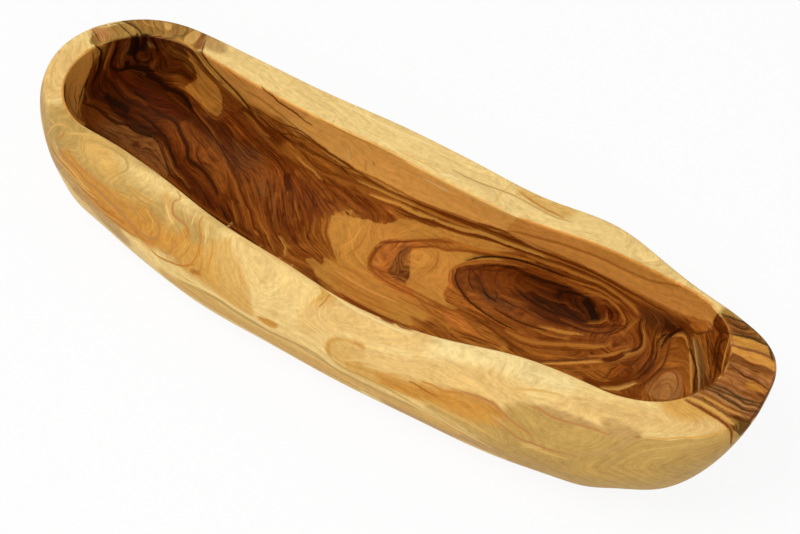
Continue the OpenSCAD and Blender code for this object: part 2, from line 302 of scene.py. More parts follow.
    ("glow", 1, [(34, 9.7), (38, 10.4), (42, 11.4), (46, 12.5), (50, 13.8), (55, 15.3), (60, 17.2),
        (64, 18.6), (68, 20), (72, 21)]),
    ("leather", 1.1, [(14, -6.6), (16, -5), (20, -2.4), (24, 0.4), (27, 2.7), (30, 3.8), (33, 4.2), (35, 5),
        (38, 7.2), (42, 9), (46, 10.5), (50, 12), (54, 13.6), (60, 15.4), (65, 16.9), (69, 18.4)]),
    ("rust", 2.2, [(6.5, -10), (5.7, -13), (6, -17), (6.7, -20), (8, -23)]),
    ("copper", 1.3, [(7.6, -22), (9.5, -24.2), (12, -25.4), (15, -26.2), (20, -26.7), (26, -27),
        (32, -26.7), (38, -27), (44, -27.2), (50, -26.8), (55, -26.4)]),
    ("russet", 0.6, [(11, -22.5), (14, -23.8), (18, -24.7)]),
    ("copper", 1, [(18, -24.9), (25, -25), (32, -24.7), (40, -24.9), (46, -24.6), (53, -24.5),
        (60, -23.4)]),
    ("copper", 0.9, [(38, -27.6), (42, -29), (46, -30.3), (50, -30.9), (56, -31.2)]),
    ("copper", 1.3, [(40.5, -38), (45, -38.2), (50, -38.9), (56, -39.2)]),
    ("copper", 1, [(61, -24.5), (66, -26.2), (71, -28), (76, -28.8), (82, -28.4)]),
    ("rust", 1.2, [(60, -33.6), (66, -32.8), (71, -31.6), (78, -30.6), (84, -29.6)]),
    ("brown", 0.8, [(66, -35), (71, -33.6), (78, -32.2)]),
    ("russet", 1, [(61.8, -35.8), (62.4, -37)]),
    ("russet", 0.8, [(60, -0.7), (66, -0.7), (70.5, -1.6)]),
    ("umber", 1, [(68, -6.6), (75, -6.3)]),
    ("amber", 1.1, [(42.2, -3.6), (43, -1.5), (45, 1), (48, 4), (51, 6.5), (54, 8.8), (57, 10.7), (60, 12),
        (65, 14.2), (70, 15.6)]),
    ("brown", 1, [(46, -4.5), (47.5, -1), (50, 1.5), (53, 3.2), (57, 5.2), (61, 7.4), (65, 10)]),
    ("russet", 0.8, [(59.5, 1), (62, 4.5), (64, 7.5), (67, 11)]),
    ("rust", 2.4, [(42.5, -4), (44.3, -6.5), (46, -9.3), (49, -11), (53, -12.2), (56, -15)]),
    ("copper", 1, [(41.6, -5.5), (43.3, -8.8), (45.8, -11.8)]),
    ("leather", 1.4, [(55, -14.6), (58, -15.8), (63, -15.8), (68, -17), (75, -16.6), (82, -17.2),
        (90, -16.7), (96, -15.6)]),
    ("leather", 0.7, [(57, -12.8), (62, -14.4), (69, -14.7), (77, -14.4), (84, -14.8), (92, -13.8)]),
    ("copper", 1.1, [(47.6, -14.6), (46.8, -17), (48.3, -18.7), (51, -19.8), (55, -20.4), (60, -20.3)]),
    ("rust", 1.2, [(60, -19.8), (64, -19.3), (69, -19.4), (75, -20), (82, -19.6), (88, -18.8), (94, -18)]),
    ("glow", 0.7, [(58, -18.4), (66, -17.9), (74, -18.3), (82, -18.4), (90, -17.6)]),
    ("russet", 0.8, [(64, -21.8), (71, -22.8), (78, -24), (85, -25.3), (91, -26.4)]),
    ("leather", 0.7, [(68, -11.4), (76, -11.8), (85, -11.2), (93, -12), (99, -11.2)]),
    ("tan", 0.8, [(92, -12.8), (98, -12.3), (104, -10.6), (109, -8.8)]),
    ("russet", 1.6, [(97, -15.6), (102, -13.8), (107, -11.6), (112, -8.8), (117, -6.2), (121, -3.6)]),
    ("tan", 0.8, [(112, -12.5), (116, -10.3), (119.5, -8), (123, -5), (126, -1.6)]),
    ("tan", 2, [(82, -20.4), (88, -20.6), (93, -20), (97, -18.8), (102, -16.3), (106, -13.9), (110, -11.6),
        (114, -9.4), (118, -7.2), (121.5, -5.4), (124.5, -3.6)]),
    ("rust", 1, [(84, -22.6), (89, -22.9), (94, -22.2), (98, -21.3), (102, -19.4), (106, -16.7),
        (111, -13.8), (116, -11.5), (121, -8.6), (125, -5.8)]),
    ("copper", 0.8, [(95, -24), (101, -22.4), (107, -19.6), (112, -17)]),
    ("wheat", 1.5, [(106, -27), (110, -24.4), (114.5, -21.3), (119, -17.9), (123, -14.9), (127, -12.2),
        (130.5, -9.8)]),
    ("dun", 1.2, [(104, -26.6), (108, -23.6), (112, -21), (116.5, -17.8), (121, -14.2), (126, -10.6)]),
    ("copper", 1, [(110, -26.4), (115, -23), (120, -19), (125, -15.2), (130, -11.6)]),
    ("amber", 0.8, [(117, -25), (122, -21), (127, -17), (132, -13), (134.5, -10)]),
    ("russet", 3, [(126, -24.2), (131, -23.6), (135, -21.8), (139, -18.6), (142, -15.5), (144, -12)]),
    ("straw", 2, [(135.5, -24), (139, -22.4), (142, -20.2), (144.5, -17), (147, -13.5)]),
    ("rust", 1.4, [(141, -23.5), (145, -22.6), (149, -21), (153, -18.6)]),
    ("russet", 1, [(133.5, -20.5), (134, -16), (134.3, -12), (135.5, -9)]),
    ("ember", 0.7, [(136.8, -16), (137.6, -12), (138.6, -8.5)]),
    # Painted shade: these two lines darken the trough just inside the mouth's front edge, under the front
    # rim.
    ("rust", 1.2, [(5, -44.4), (10, -44.8), (18, -45.2), (26, -45), (34, -44.6), (40, -44.9), (45, -44)]),
    ("rust", 2, [(8, -45.4), (14, -46), (20, -46.2), (28, -45.9), (36, -45.4)]),
    # A thin dark line along the outline at the top left: partly a dark edge of the wood, partly painted
    # shade where the rounded edge turns away.
    ("grey", 0.6, [(-189, 31), (-185, 35.5), (-180, 41), (-175, 45.3), (-170, 48.5), (-160, 52),
        (-150, 53.7), (-140, 54.4), (-130, 54.6)]),
    ("grey", 1.5, [(-153, 53), (-151, 50), (-152, 47), (-155, 45)]),
    ("russet", 0.8, [(-140, 50), (-138.5, 46), (-137, 43.5)]),
    ("drab", 1, [(-143.5, 53), (-142.5, 48), (-140.5, 44)]),
    ("sand", 1, [(-152, 43.3), (-146, 43.5), (-140, 41.5), (-134, 38.5), (-132, 37.5)]),
    ("ash", 1.8, [(-183, 38.5), (-178, 39), (-173, 38), (-169, 36)]),
    ("ash", 1, [(-184, 36), (-179, 34.5), (-174, 33)]),
    ("drab", 0.8, [(-187, 32.5), (-182, 31), (-178.5, 29.5)]),
    ("cream", 1.4, [(-188.4, 32.6), (-187, 32.6)]),
    ("russet", 0.8, [(-192, 25), (-188, 23), (-184.5, 20.5)]),
    ("grey", 0.8, [(-191, 23), (-187, 19), (-184.5, 17.5)]),
    ("russet", 0.6, [(-170, 46.5), (-166, 44), (-162, 43.2)]),
    ("sand", 0.6, [(-176, 44.5), (-172, 43.3), (-168, 44.2)]),
    ("oat", 0.7, [(-192.7, 16), (-191, 13), (-189.4, 9)]),
    ("sap", 0.7, [(-193.5, 4), (-192.5, -1), (-191, -6), (-189, -10)]),
    ("oat", 0.6, [(-195, -1), (-193.6, -6), (-191, -11), (-188, -15)]),
    ("black", 1.6, [(-184, 17.5), (-180, 16), (-177.5, 12), (-175.5, 9), (-173.5, 5), (-172, 0),
        (-170.5, -5)]),
    ("copper", 0.8, [(-182, 15.6), (-178.5, 11.6), (-176.5, 8.6), (-174.6, 5)]),
    ("rust", 1, [(-183, 13), (-180, 9.5), (-177, 5), (-174.5, 0), (-172, -6), (-170, -9)]),
    ("copper", 1.8, [(-178.5, 24), (-176, 18), (-173.5, 11), (-171.5, 7)]),
    ("black", 1.8, [(-177, 26), (-174.5, 20.5), (-172, 14.4), (-170, 10.5)]),
    ("coal", 3.6, [(-172, 33), (-168.4, 28), (-166.4, 22)]),
    ("leather", 1, [(-167.6, 13.2), (-166.5, 12)]),
    ("drab", 0.7, [(-170, 20), (-167, 15)]),
    ("black", 2, [(-170, 10), (-165, 10.5), (-163, 13), (-160, 17), (-155, 19), (-150, 19.5)]),
    ("coal", 2.6, [(-164.5, 17.5), (-162.5, 13.6)]),
    ("leather", 0.8, [(-161.5, 33.5), (-159, 32.3)]),
    ("rust", 0.8, [(-157.6, 36.6), (-156, 35.4)]),
    ("umber", 1, [(-166, 33), (-162, 30), (-158, 31), (-155, 34)]),
    ("russet", 1, [(-164, 25), (-160, 22.6), (-157, 24), (-155.6, 28)]),
    ("rust", 1.7, [(-153.8, 26.5), (-152.6, 23.4), (-151.8, 20.8)]),
    ("dun", 0.6, [(-158, 14.6), (-155, 15.6), (-152, 14.6)]),
    ("black", 2.6, [(-151, 15.4), (-144, 15.8), (-138, 14.2), (-130, 14.8), (-125, 13.2), (-120, 10.4)]),
    ("dark", 1.7, [(-120, 10.4), (-116, 8.5), (-110, 5.5), (-105, 3.5), (-100, 1)]),
    ("dark", 0.5, [(-150, 12.6), (-142, 12.2), (-133, 11)]),
    ("umber", 2, [(-151, 11), (-142, 10.4), (-132, 9.4), (-124, 7.8), (-117, 6.2), (-111, 3.6), (-105, 1.4),
        (-99, -1)]),
    ("russet", 2, [(-162, 5), (-157, 2.6), (-150, 0.2), (-145, 1), (-140, -0.6)]),
    ("dark", 1.6, [(-168, 3), (-162, 1), (-156, -1.5), (-150, -3.4), (-144, -3), (-138, -2.6)]),
    ("black", 3.4, [(-160, -6.6), (-155, -7.4), (-150, -7.6), (-145, -8.4)]),
    ("umber", 0.8, [(-152, -14.2), (-148, -14.6), (-144, -15)]),
    ("umber", 2, [(-167, -16.5), (-160, -15.5), (-155, -16.2), (-150, -17.3), (-145, -17.8), (-142, -16.6),
        (-138, -16.2)]),
    ("amber", 0.8, [(-179.5, -10), (-177, -14.5), (-173.5, -19), (-168, -23.2), (-163, -25.4)]),
    ("straw", 0.8, [(-178, -9), (-175, -14), (-171, -19), (-166, -23)]),
    ("copper", 0.8, [(-176, -10), (-173, -15), (-170, -18), (-167, -22)]),
    ("copper", 1, [(-170, -10), (-167.4, -12), (-165, -15), (-167, -17.5)]),
    ("sand", 1, [(-172, -9), (-169.4, -14), (-167, -19), (-163, -24)]),
    ("russet", 2, [(-138, 43), (-133, 40.5), (-128, 38)]),
    ("brown", 1.4, [(-129, 38.5), (-122, 36), (-118, 34.5), (-112, 32.5), (-107, 31), (-102, 28.8),
        (-98, 27), (-94, 24.5), (-90, 22.5), (-85, 20.5), (-82, 19.3), (-76, 17)]),
    ("peach", 0.8, [(-138, 40.5), (-131, 37), (-125, 34.5), (-119, 32.5)]),
    ("leather", 1.4, [(-138, 38.3), (-133, 36), (-127, 33), (-121, 31), (-117, 29.8), (-112, 28.5)]),
    ("glow", 1, [(-121, 41), (-113, 39), (-105, 36.5)]),
    ("rust", 1, [(-98, 40.4), (-95, 39.3), (-90, 38.5), (-86, 37), (-80, 36.3), (-74, 35.5), (-70, 34.5),
        (-67, 33.7), (-64, 33.6)]),
    ("glow", 1.2, [(-99, 28.4), (-93, 28.2), (-88, 27.5), (-80, 27), (-70, 26.3)]),
    ("tan", 0.7, [(-104, 34), (-97, 34), (-90, 33), (-85, 31.8), (-80, 30.8), (-75, 29.5), (-70, 28.5),
        (-68, 27.8)]),
    ("copper", 0.9, [(-88, 25.5), (-83, 25), (-79, 23.8), (-75, 22.7), (-69, 20.9), (-63, 20.5)]),
    ("tan", 1.6, [(-72.4, 22.8), (-69.6, 21.8)]),
    ("sand", 1.4, [(-68.2, 24.8), (-65.8, 24.2)]),
    ("amber", 1.2, [(-96, 22), (-90, 20.3), (-86, 18.3), (-81, 16.5), (-77, 15.8)]),
    ("amber", 0.6, [(-91, 23.7), (-87, 22.2), (-82, 20.6)]),
    ("copper", 0.7, [(-95, 21), (-88, 18), (-82, 15.5), (-77, 14), (-70, 11.5), (-66, 9.7)]),
    ("leather", 0.7, [(-124, 14.5), (-119, 11), (-113, 8), (-108, 6), (-103, 4), (-99, 1.5), (-94, -1)]),
    ("russet", 0.5, [(-135, 11.5), (-130, 10.5), (-124, 9), (-119, 7.5)]),
    ("leather", 0.6, [(-111, 11.3), (-105, 10.8)]),
    ("umber", 1.2, [(-100, 1), (-98, 0), (-93, -2.5), (-88, -5.5), (-82, -9), (-79, -11)]),
    ("brown", 1, [(-112, -2), (-105, -5), (-98, -7)]),
    ("dark", 2, [(-138, 0), (-130, -1.5), (-124, -1), (-119, -2.5), (-115, -5.5), (-110, -9), (-107, -11),
        (-104.5, -14), (-102, -17), (-98, -18), (-92, -19), (-86, -21.5), (-80, -25), (-77, -27.6)]),
    ("black", 1.5, [(-138, -7.5), (-132, -8), (-127, -9.5), (-122, -11), (-117, -12.4)]),
    ("leather", 0.8, [(-80, -15), (-78.6, -18), (-77, -21.6), (-75, -25)]),
    ("brown", 0.8, [(-82, -12.5), (-77.6, -17.5), (-73, -22), (-69, -26.4), (-65, -30.6), (-62, -34)]),
    ("copper", 0.9, [(-88, -8), (-84, -10.8), (-80, -13.4), (-76, -16), (-72, -19), (-69, -22),
        (-66, -24.6), (-62.5, -27.6)]),
    ("brown", 1.2, [(-84, -9), (-78, -12.6), (-72, -16.6), (-69, -19.6), (-66, -21.5), (-63, -24),
        (-60, -26), (-58, -27), (-56, -29), (-54, -31), (-52, -33), (-50.5, -34.5), (-48.5, -35),
        (-46, -36), (-44, -37.5), (-41.5, -39.5), (-40, -41.3)]),
    ("copper", 0.8, [(-116, -17.6), (-112, -20.6), (-108, -23.6), (-104, -26.4), (-100, -28), (-96, -29.2),
        (-91, -31.6)]),
    ("black", 1.5, [(-140, -16), (-136, -16.8), (-133, -17), (-128, -16), (-124, -15.3), (-121, -16.4)]),
    ("umber", 1, [(-121, -16.4), (-117, -19), (-113, -22), (-109, -25.2), (-106, -27.8), (-103, -29.8),
        (-99, -30.4), (-95, -31.2), (-91, -33), (-88, -35)]),
    ("brown", 1.6, [(-105, -27.8), (-104, -30), (-103.4, -32.4)]),
    ("rust", 0.6, [(-110, -12.6), (-106, -15), (-103, -17)]),
    ("umber", 0.8, [(-103, -8), (-101, -11.6), (-98, -14.4), (-94, -16.6), (-90, -17.8), (-86, -19.6)]),
    ("rust", 0.5, [(-95, -20.6), (-90, -22.5), (-85, -25.5), (-80, -28), (-76, -31)]),
    ("russet", 0.5, [(-100, -21.8), (-94, -24), (-88, -26.7), (-82, -30)]),
    ("red", 1.4, [(-74, -33), (-72.6, -33.6)]),
    ("honey", 0.6, [(-62, 38.9), (-50, 38.6), (-40, 38.9), (-30, 39.4), (-12, 39.4)]),
    ("straw", 0.7, [(-32, 40.9), (-26, 40.5), (-20, 41.3)]),
    ("bark", 0.6, [(-20, 43), (-10, 43), (-2, 43.3), (6, 42)]),
    ("sap", 0.6, [(-40, 30), (-36, 25)]),
    ("sand", 0.6, [(-29, 29.5), (-25.5, 24)]),
    ("glow", 1.4, [(-25, 30.2), (-24, 29.4)]),
    ("glow", 1, [(-31, 37.2), (-30, 36.8)]),
    ("rust", 1.4, [(-68, 25.9), (-62, 25.5), (-56, 24.8), (-51, 24.2), (-48, 23.2), (-43, 22.5),
        (-36, 22.3), (-31, 21.3), (-27, 20.2), (-20, 19.7), (-12, 19.3), (-5, 19.3), (0, 20.2)]),
    ("sand", 0.7, [(-50, 22.7), (-40, 21.4), (-30, 20.4), (-22, 20.8), (-10, 20.6), (0, 21.2)]),
    ("amber", 1, [(-60, 21.3), (-55, 20.9), (-48, 20.5), (-42, 19.8), (-37, 20), (-31, 19.2)]),
    ("russet", 1.6, [(-61.6, 21.2), (-58.8, 20.8)]),
    ("amber", 1.9, [(-58, 19), (-54, 17.8), (-50, 17)]),
    ("russet", 0.9, [(-60, 17), (-55, 15.5), (-50, 13.5), (-47, 12.8), (-40, 12.5), (-35, 13.5), (-30, 14),
        (-22, 15)]),
    ("copper", 0.9, [(-47, 11.2), (-40, 10.8), (-36, 12), (-30, 13.2), (-25, 13.5), (-20, 14.5),
        (-12, 15.8), (-5, 16.3), (0, 16.9)]),
    ("honey", 1.2, [(-58, 12.5), (-53, 11), (-47, 10), (-42, 8), (-40, 7.3)]),
    ("russet", 0.9, [(-40, 7), (-36, 6.9), (-30, 8), (-24, 9.5)]),
    ("leather", 1.3, [(-24, 9.6), (-18, 10.2), (-10, 11.2), (-4, 12), (1, 12.8)]),
    ("sand", 1, [(-25, 16.5), (-15, 17.3), (-5, 17.9), (6, 18.5)]),
    ("wheat", 1.6, [(-15, 12.6), (-5, 14.2), (6, 15.8)]),
    ("rust", 1.4, [(-12.6, 15.2), (-11.2, 14.8)]),
    ("dark", 2, [(-19, -2.6), (-17, -3.4)]),
    ("umber", 3.6, [(-56, 1), (-53, -3), (-50, -6)]),
    ("rust", 2.4, [(-46, -7), (-44, -9.5)]),
    ("copper", 2.2, [(-53.6, 4.8), (-51.4, 3.4)]),
    ("umber", 1.2, [(-23.8, 3), (-22.4, 2.4)]),
    ("copper", 1, [(-28.8, 5.7), (-27.6, 5.1)]),
    ("brown", 1, [(-28.6, -0.4), (-27.2, -1)]),
    ("umber", 0.8, [(-15.6, -0.3), (-14.4, -0.8)]),
    ("amber", 0.6, [(-44, -10), (-41, -13.5), (-37, -17), (-35, -18.5)]),
    ("brown", 0.9, [(-47, -9), (-44, -12.6), (-41, -15.5), (-39, -19)]),
    ("russet", 2.2, [(-36, -8.6), (-33, -12.5), (-30.5, -16), (-29, -19), (-27, -23)]),
    ("leather", 1.4, [(-27, -8), (-24.6, -10.6), (-22.6, -13.6), (-20.6, -18), (-17.4, -21), (-13.5, -24.4),
        (-9, -28.4)]),
    ("rust", 0.8, [(-32, -8), (-28, -13.6), (-25, -18), (-21, -21.4), (-17, -25)]),
    ("rust", 2.4, [(-27, -35), (-23, -35.8), (-18.6, -35.2)]),
    ("tan", 0.8, [(-50, -31), (-46, -33), (-43, -34.5), (-40, -37), (-37, -39), (-34, -41.3)]),
    ("sand", 1.1, [(-37.6, -32.6), (-34, -34.4), (-31.5, -36), (-30.5, -38), (-29, -40.4)]),
    ("amber", 0.6, [(-57.4, -24.8), (-53, -28), (-49, -31.6), (-45, -35)]),
    ("dun", 0.8, [(-47, -22.6), (-44.6, -26), (-42, -29.4)]),
    ("copper", 0.6, [(-68, -22), (-64, -26), (-60, -29.4), (-56, -33.4), (-53, -37.5)]),
    ("amber", 0.5, [(-69, -27), (-66, -30), (-62, -34), (-59, -37)]),
    ("dark", 1.4, [(-72, -32.5), (-69, -34), (-66, -36), (-63, -38)]),
    ("dun", 0.8, [(-64, -17.4), (-61, -20.6), (-57, -23.6)]),
    ("drab", 0.6, [(-55, -13), (-51, -18), (-48, -22), (-46, -25.4)]),
    ("brown", 1, [(-56, -16), (-53.6, -19), (-51, -23)]),
    ("umber", 0.7, [(-62, -7), (-58, -11), (-55, -15)]),
    ("umber", 0.7, [(-40, -1), (-36, -6), (-33, -10)]),
    ("glow", 1.2, [(-49.4, -36), (-46.8, -37.2)]),
    # Painted shade: a darker line just inside the mouth's front edge, from the left end to the middle.
    ("leather", 0.9, [(-140, -27.4), (-132, -28.1), (-120, -29.8), (-110, -31.3), (-100, -33), (-90, -35.1),
        (-80, -37.1), (-69, -38.5), (-60, -39.4), (-50, -40.3), (-42, -41.4), (-30, -41.9), (-20, -42.2),
        (-10, -42.7), (0, -44)]),
    ("sap", 0.8, [(-61.5, -38), (-61.9, -40.8)]),
    ("peach", 0.6, [(-42, -42.8), (-41, -41.5)]),
    ("bark", 0.6, [(-30, -43.2), (-29.3, -42)]),
    ("sap", 0.6, [(-22.6, -43.4), (-22.3, -42.2)]),
    ("bark", 0.8, [(-175.5, -33.4), (-170.5, -34.6)]),
    ("oat", 0.8, [(-169, -42), (-170, -38), (-169.4, -35), (-167, -33), (-165, -33.6)]),
    ("oat", 1, [(-160, -35), (-157, -33.8), (-154, -32), (-151.5, -30.7), (-148, -30.2), (-140, -30.2)]),
    ("reed", 0.9, [(-142, -50), (-141.6, -46), (-144, -43.6), (-147.5, -41), (-149.6, -38), (-151, -35.8),
        (-149.4, -34), (-146, -33), (-141, -32.5), (-135, -32.4), (-129, -33.2), (-126, -34.8),
        (-124, -36.5), (-123, -38.5), (-123.5, -41), (-125, -44), (-126, -47), (-127, -49)]),
    ("honey", 1.4, [(-163, -36.6), (-162.6, -38)]),
    ("honey", 0.7, [(-162.8, -38.6), (-163, -41.6)]),
    ("reed", 0.7, [(-157, -45), (-157.4, -41)]),
    ("clay", 1.1, [(-161, -44.6), (-157, -47.5), (-152, -49.6), (-146, -51), (-140, -53.4), (-136, -55),
        (-130, -56), (-124, -57.6), (-118, -59.6), (-110, -61.6), (-102, -64.4), (-96, -66), (-90, -67),
        (-87, -66), (-86, -63), (-88, -60), (-91, -57), (-95, -55.5)]),
    ("tan", 1.1, [(-165, -45), (-160, -49), (-154, -52), (-148, -54.4), (-142, -56.4), (-136, -59),
        (-132, -60.8), (-126, -62.2), (-122, -63.6), (-118, -64.6), (-110, -65.4), (-104, -66.2)]),
    ("oat", 0.9, [(-155, -50.4), (-148, -52.8), (-142, -55), (-137, -57.2), (-130, -59.2)]),
    ("sand", 0.8, [(-127, -58.6), (-119, -60.8), (-112, -62.8), (-105, -64.6)]),
    ("tan", 0.9, [(-115, -66.8), (-108, -68), (-100, -69.2), (-92, -69.5)]),
    ("clay", 1.1, [(-91, -40.4), (-92, -42), (-91.5, -44.4), (-90, -46.6), (-87.6, -48.8), (-84, -50),
        (-80, -50.6), (-77, -52), (-75, -54.4), (-74.5, -57)]),
    ("tan", 0.6, [(-94, -36.6), (-91.4, -38), (-90.4, -40)]),
    ("sap", 1, [(-94, -46), (-91, -49), (-88, -51.6), (-85, -53.4)]),
    ("honey", 0.9, [(-75, -43), (-74.6, -46), (-72.6, -48.6), (-70, -51.4), (-67.6, -54), (-66.4, -57),
        (-64.6, -59.6), (-63, -62)]),
    ("clay", 0.8, [(-78, -63), (-76, -66), (-75.4, -68.6), (-77, -69.6), (-80, -69.4)]),
    ("tan", 0.8, [(-84, -72), (-78, -73.4), (-71, -72.8), (-66, -71.6), (-62, -68)]),
    ("sand", 0.6, [(-116, -46.4), (-110, -47.6), (-104, -48.2), (-98, -48.6)]),
    ("honey", 0.6, [(-112, -49.4), (-106, -50.6), (-100, -51.2)]),
    ("oat", 0.8, [(-56, -46), (-54, -50.6), (-51, -54)]),
    ("sand", 0.8, [(-63, -51), (-60, -56), (-57.6, -60), (-56, -64), (-54, -68)]),
    ("honey", 0.8, [(-66, -58), (-64, -62.6), (-63.2, -67), (-63.6, -71)]),
    ("clay", 0.7, [(-59.6, -64), (-58, -68), (-57, -71)]),
    ("straw", 0.6, [(-55, -62), (-52.6, -66), (-51, -70)]),
    ("straw", 0.7, [(-44, -57), (-40, -61), (-36, -66), (-33, -71)]),
    ("pale", 0.9, [(-70, -78.6), (-60, -78), (-50, -77.4), (-40, -77.2), (-30, -78.2), (-20, -78.6)]),
    ("reed", 0.9, [(-60, -79.4), (-50, -79), (-40, -79), (-30, -80), (-20, -80.6), (-10, -80.6), (0, -80),
        (10, -79.2), (17, -79.6), (24, -81)]),
    ("tan", 0.7, [(1.8, -48), (2, -52), (1.6, -55.6)]),
    ("reed", 0.6, [(-4, -47), (-1, -49), (0, -51)]),
    # Painted highlight: a thin pale line along the lip of the mouth's front edge.
    ("cream", 0.5, [(0, -46.6), (8, -47.6), (18, -48.4), (28, -48.2), (38, -47.6), (46, -45.8)]),
    ("reed", 0.7, [(18.4, -75), (21, -76.6), (24, -77.6), (28, -78.6), (33, -78.8), (40, -78), (50, -77.6),
        (60, -77.8), (72, -78.2)]),
    ("sap", 1.4, [(29, -74.6), (33, -72), (38, -69.6), (44, -67), (50, -64), (56, -61), (61, -59)]),
    ("sap", 1, [(38, -72.6), (44, -70.8), (48, -69.4), (52, -67.4), (57, -65), (60, -63)]),
    ("sand", 1, [(44, -72.4), (46, -73.4), (50, -73)]),
    ("amber", 0.9, [(60, -68.8), (63, -68.4), (67, -69), (75, -68.8)]),
    ("honey", 0.8, [(50, -74.6), (58, -74), (66, -74.6)]),
    ("honey", 0.8, [(65, -65.6), (70, -64.6), (76, -64.8), (80, -62.6), (84, -61)]),
    ("clay", 1, [(84, -60), (90, -58.8), (96, -58.2), (100, -58.6), (104, -60), (110, -61.6), (116, -62.6),
        (122, -63.2)]),
    ("cream", 0.7, [(104, -34.4), (108, -33.4), (112, -32.8), (118, -32.2), (124, -31.4)]),
    ("oat", 0.8, [(100, -47), (104, -45), (108, -42.6), (113, -40.4), (118, -38.6), (123, -37.4)]),
    ("clay", 1, [(114, -50), (118, -49.3), (122, -49.8), (127, -49.6), (134, -47.8), (142, -45.6),
        (150, -44.4)]),
    ("clay", 0.8, [(105, -65.6), (112, -67), (118, -68), (125, -66.8), (131, -66), (137, -64.4),
        (143, -62.6)]),
    ("oat", 0.9, [(120, -69.6), (128, -68.6), (136, -67), (142, -65.6)]),
    ("oat", 0.8, [(70, -73.4), (80, -73.6), (90, -73.2), (100, -73.2), (110, -74)]),
    ("sap", 1, [(70, -79.4), (80, -79), (90, -78.8), (100, -79), (110, -79)]),
    ("stain", 0.8, [(-62, -80.6), (-50, -82.2), (-40, -83.4), (-30, -84.2), (-20, -84.6), (-10, -85),
        (0, -85.2), (12, -85.2), (26, -85), (40, -84.6), (55, -83.8), (70, -83.4), (85, -82.6), (95, -81.8),
        (105, -80.8)]),
    ("straw", 0.7, [(193.4, -13), (191.4, -16.6), (189.4, -19.6), (187.4, -21.6), (183.4, -25),
        (179.4, -27.4), (176.4, -29.8), (173.4, -32.2), (169.6, -34.2), (164.6, -36.2)]),
    ("amber", 1.4, [(162.6, -38.1), (161.8, -38.6)]),
    ("stain", 1, [(162, -39.5), (161, -42), (159.5, -45), (157.5, -47.5), (156, -49.5), (155.5, -52),
        (154, -54), (150, -57), (146, -60), (142, -62), (138, -63.5)]),
    ("coal", 2.4, [(-172, 35.4), (-168.4, 31), (-165.6, 27), (-164, 22.4), (-160, 19.4)]),
    ("black", 1.5, [(-167, 37.6), (-161.6, 36), (-157.4, 33), (-155.6, 30)]),
    ("black", 1.2, [(-158.6, 29), (-156, 25.6), (-157, 22), (-160.4, 20.6)]),
    ("umber", 1, [(-163, 30.4), (-160.6, 27.6), (-161.4, 24.6)]),
    ("olive", 0.8, [(-164.4, 33.8), (-161, 32)]),
    ("coal", 1.4, [(-150, 19.8), (-155, 17), (-160, 15.4), (-164, 12)]),
    ("coal", 4, [(104, 14.2), (107.6, 12.6), (110.8, 10), (113, 7.8)]),
    ("black", 1.4, [(99, 13), (102.4, 9.6), (107, 8)]),
    ("black", 1, [(45, 4), (49, 9), (55, 13.4), (62, 16.6), (70, 18.8), (80, 20.4), (90, 21.4)]),
    ("dark", 1, [(44, -2), (45.6, -7), (50, -11), (57, -14.6), (65, -16.8), (75, -18), (86, -18)]),
    ("dark", 0.8, [(52, 4), (57, 8.4), (64, 11.6), (71, 13.6)]),
    ("dark", 0.8, [(49, 0), (52, -5), (57, -9)]),
    ("black", 1.6, [(60, -5.4), (64, -8), (69, -8.6)]),
    ("dark", 0.9, [(70, -12.6), (79, -13), (88, -12.4), (97, -10.6)]),
    ("black", 1, [(72, 11.6), (80, 13.6), (88, 15), (95, 17)]),
    ("black", 0.9, [(72, 3), (80, 0.6), (88, 0), (96, 0.6), (104, 2.4)]),
    ("russet", 0.8, [(76, 7), (84, 6), (92, 6.6), (98, 8.6)]),
    ("russet", 0.8, [(74, 9.6), (82, 9.8), (90, 11)]),
    ("dark", 0.8, [(84, -3.6), (92, -4), (100, -3), (108, -0.6), (114, 2.6)]),
    ("rust", 0.8, [(86, -6.4), (94, -6.8), (102, -5.6), (110, -3)]),
    ("amber", 0.7, [(112, 4), (116, 7), (117.6, 10.6), (116, 14)]),
    ("sand", 0.6, [(-167, -41.4), (-163, -45.6), (-158, -48.4), (-152, -50.8), (-146, -52.6),
        (-140, -54.6)]),
    ("honey", 0.6, [(-154, -45), (-149, -48), (-143, -50.4), (-137, -52.2), (-130, -54)]),
    ("clay", 0.5, [(-150, -46.4), (-145, -49.2), (-139, -50.8), (-131, -52.4), (-122, -54.4), (-114, -57)]),
    ("bark", 0.6, [(-160, -50), (-152, -53.4), (-145, -55.6), (-138, -58), (-131, -60.2), (-124, -61.4)]),
    ("sand", 0.6, [(-152, -47.6), (-145, -50.2), (-138, -52.6), (-130, -54.8), (-120, -57)]),
    ("clay", 0.5, [(-128, -55.8), (-120, -58.2), (-112, -60.2), (-105, -62.4)]),
    ("clay", 0.5, [(-136, -61.6), (-128, -63.8), (-120, -66), (-112, -67.6), (-104, -68)]),
    ("sand", 0.6, [(-130, -62.6), (-122, -64.8), (-114, -66.2), (-106, -67.2), (-98, -68)]),
    ("clay", 0.5, [(-104, -56), (-98, -58.4), (-95, -61), (-94, -63.6)]),
    ("clay", 0.5, [(-110, -54.6), (-103, -58), (-99.4, -61), (-99, -64)]),
    ("straw", 0.6, [(-100, -54), (-94, -57.4), (-91.4, -60.8), (-91, -64)]),
    ("reed", 0.5, [(-68, -45), (-66.4, -48.6), (-63.6, -52), (-61.4, -56)]),
    ("oat", 0.5, [(-58, -45.6), (-57.4, -50), (-55.4, -54)]),
    ("sap", 0.7, [(-71, -44), (-69.6, -47.6), (-67, -51), (-65, -54.6)]),
    ("sap", 0.7, [(-79, -42), (-78.4, -45.4), (-77, -48.6)]),
    ("honey", 0.5, [(-70, -60), (-69.4, -64), (-69.8, -68)]),
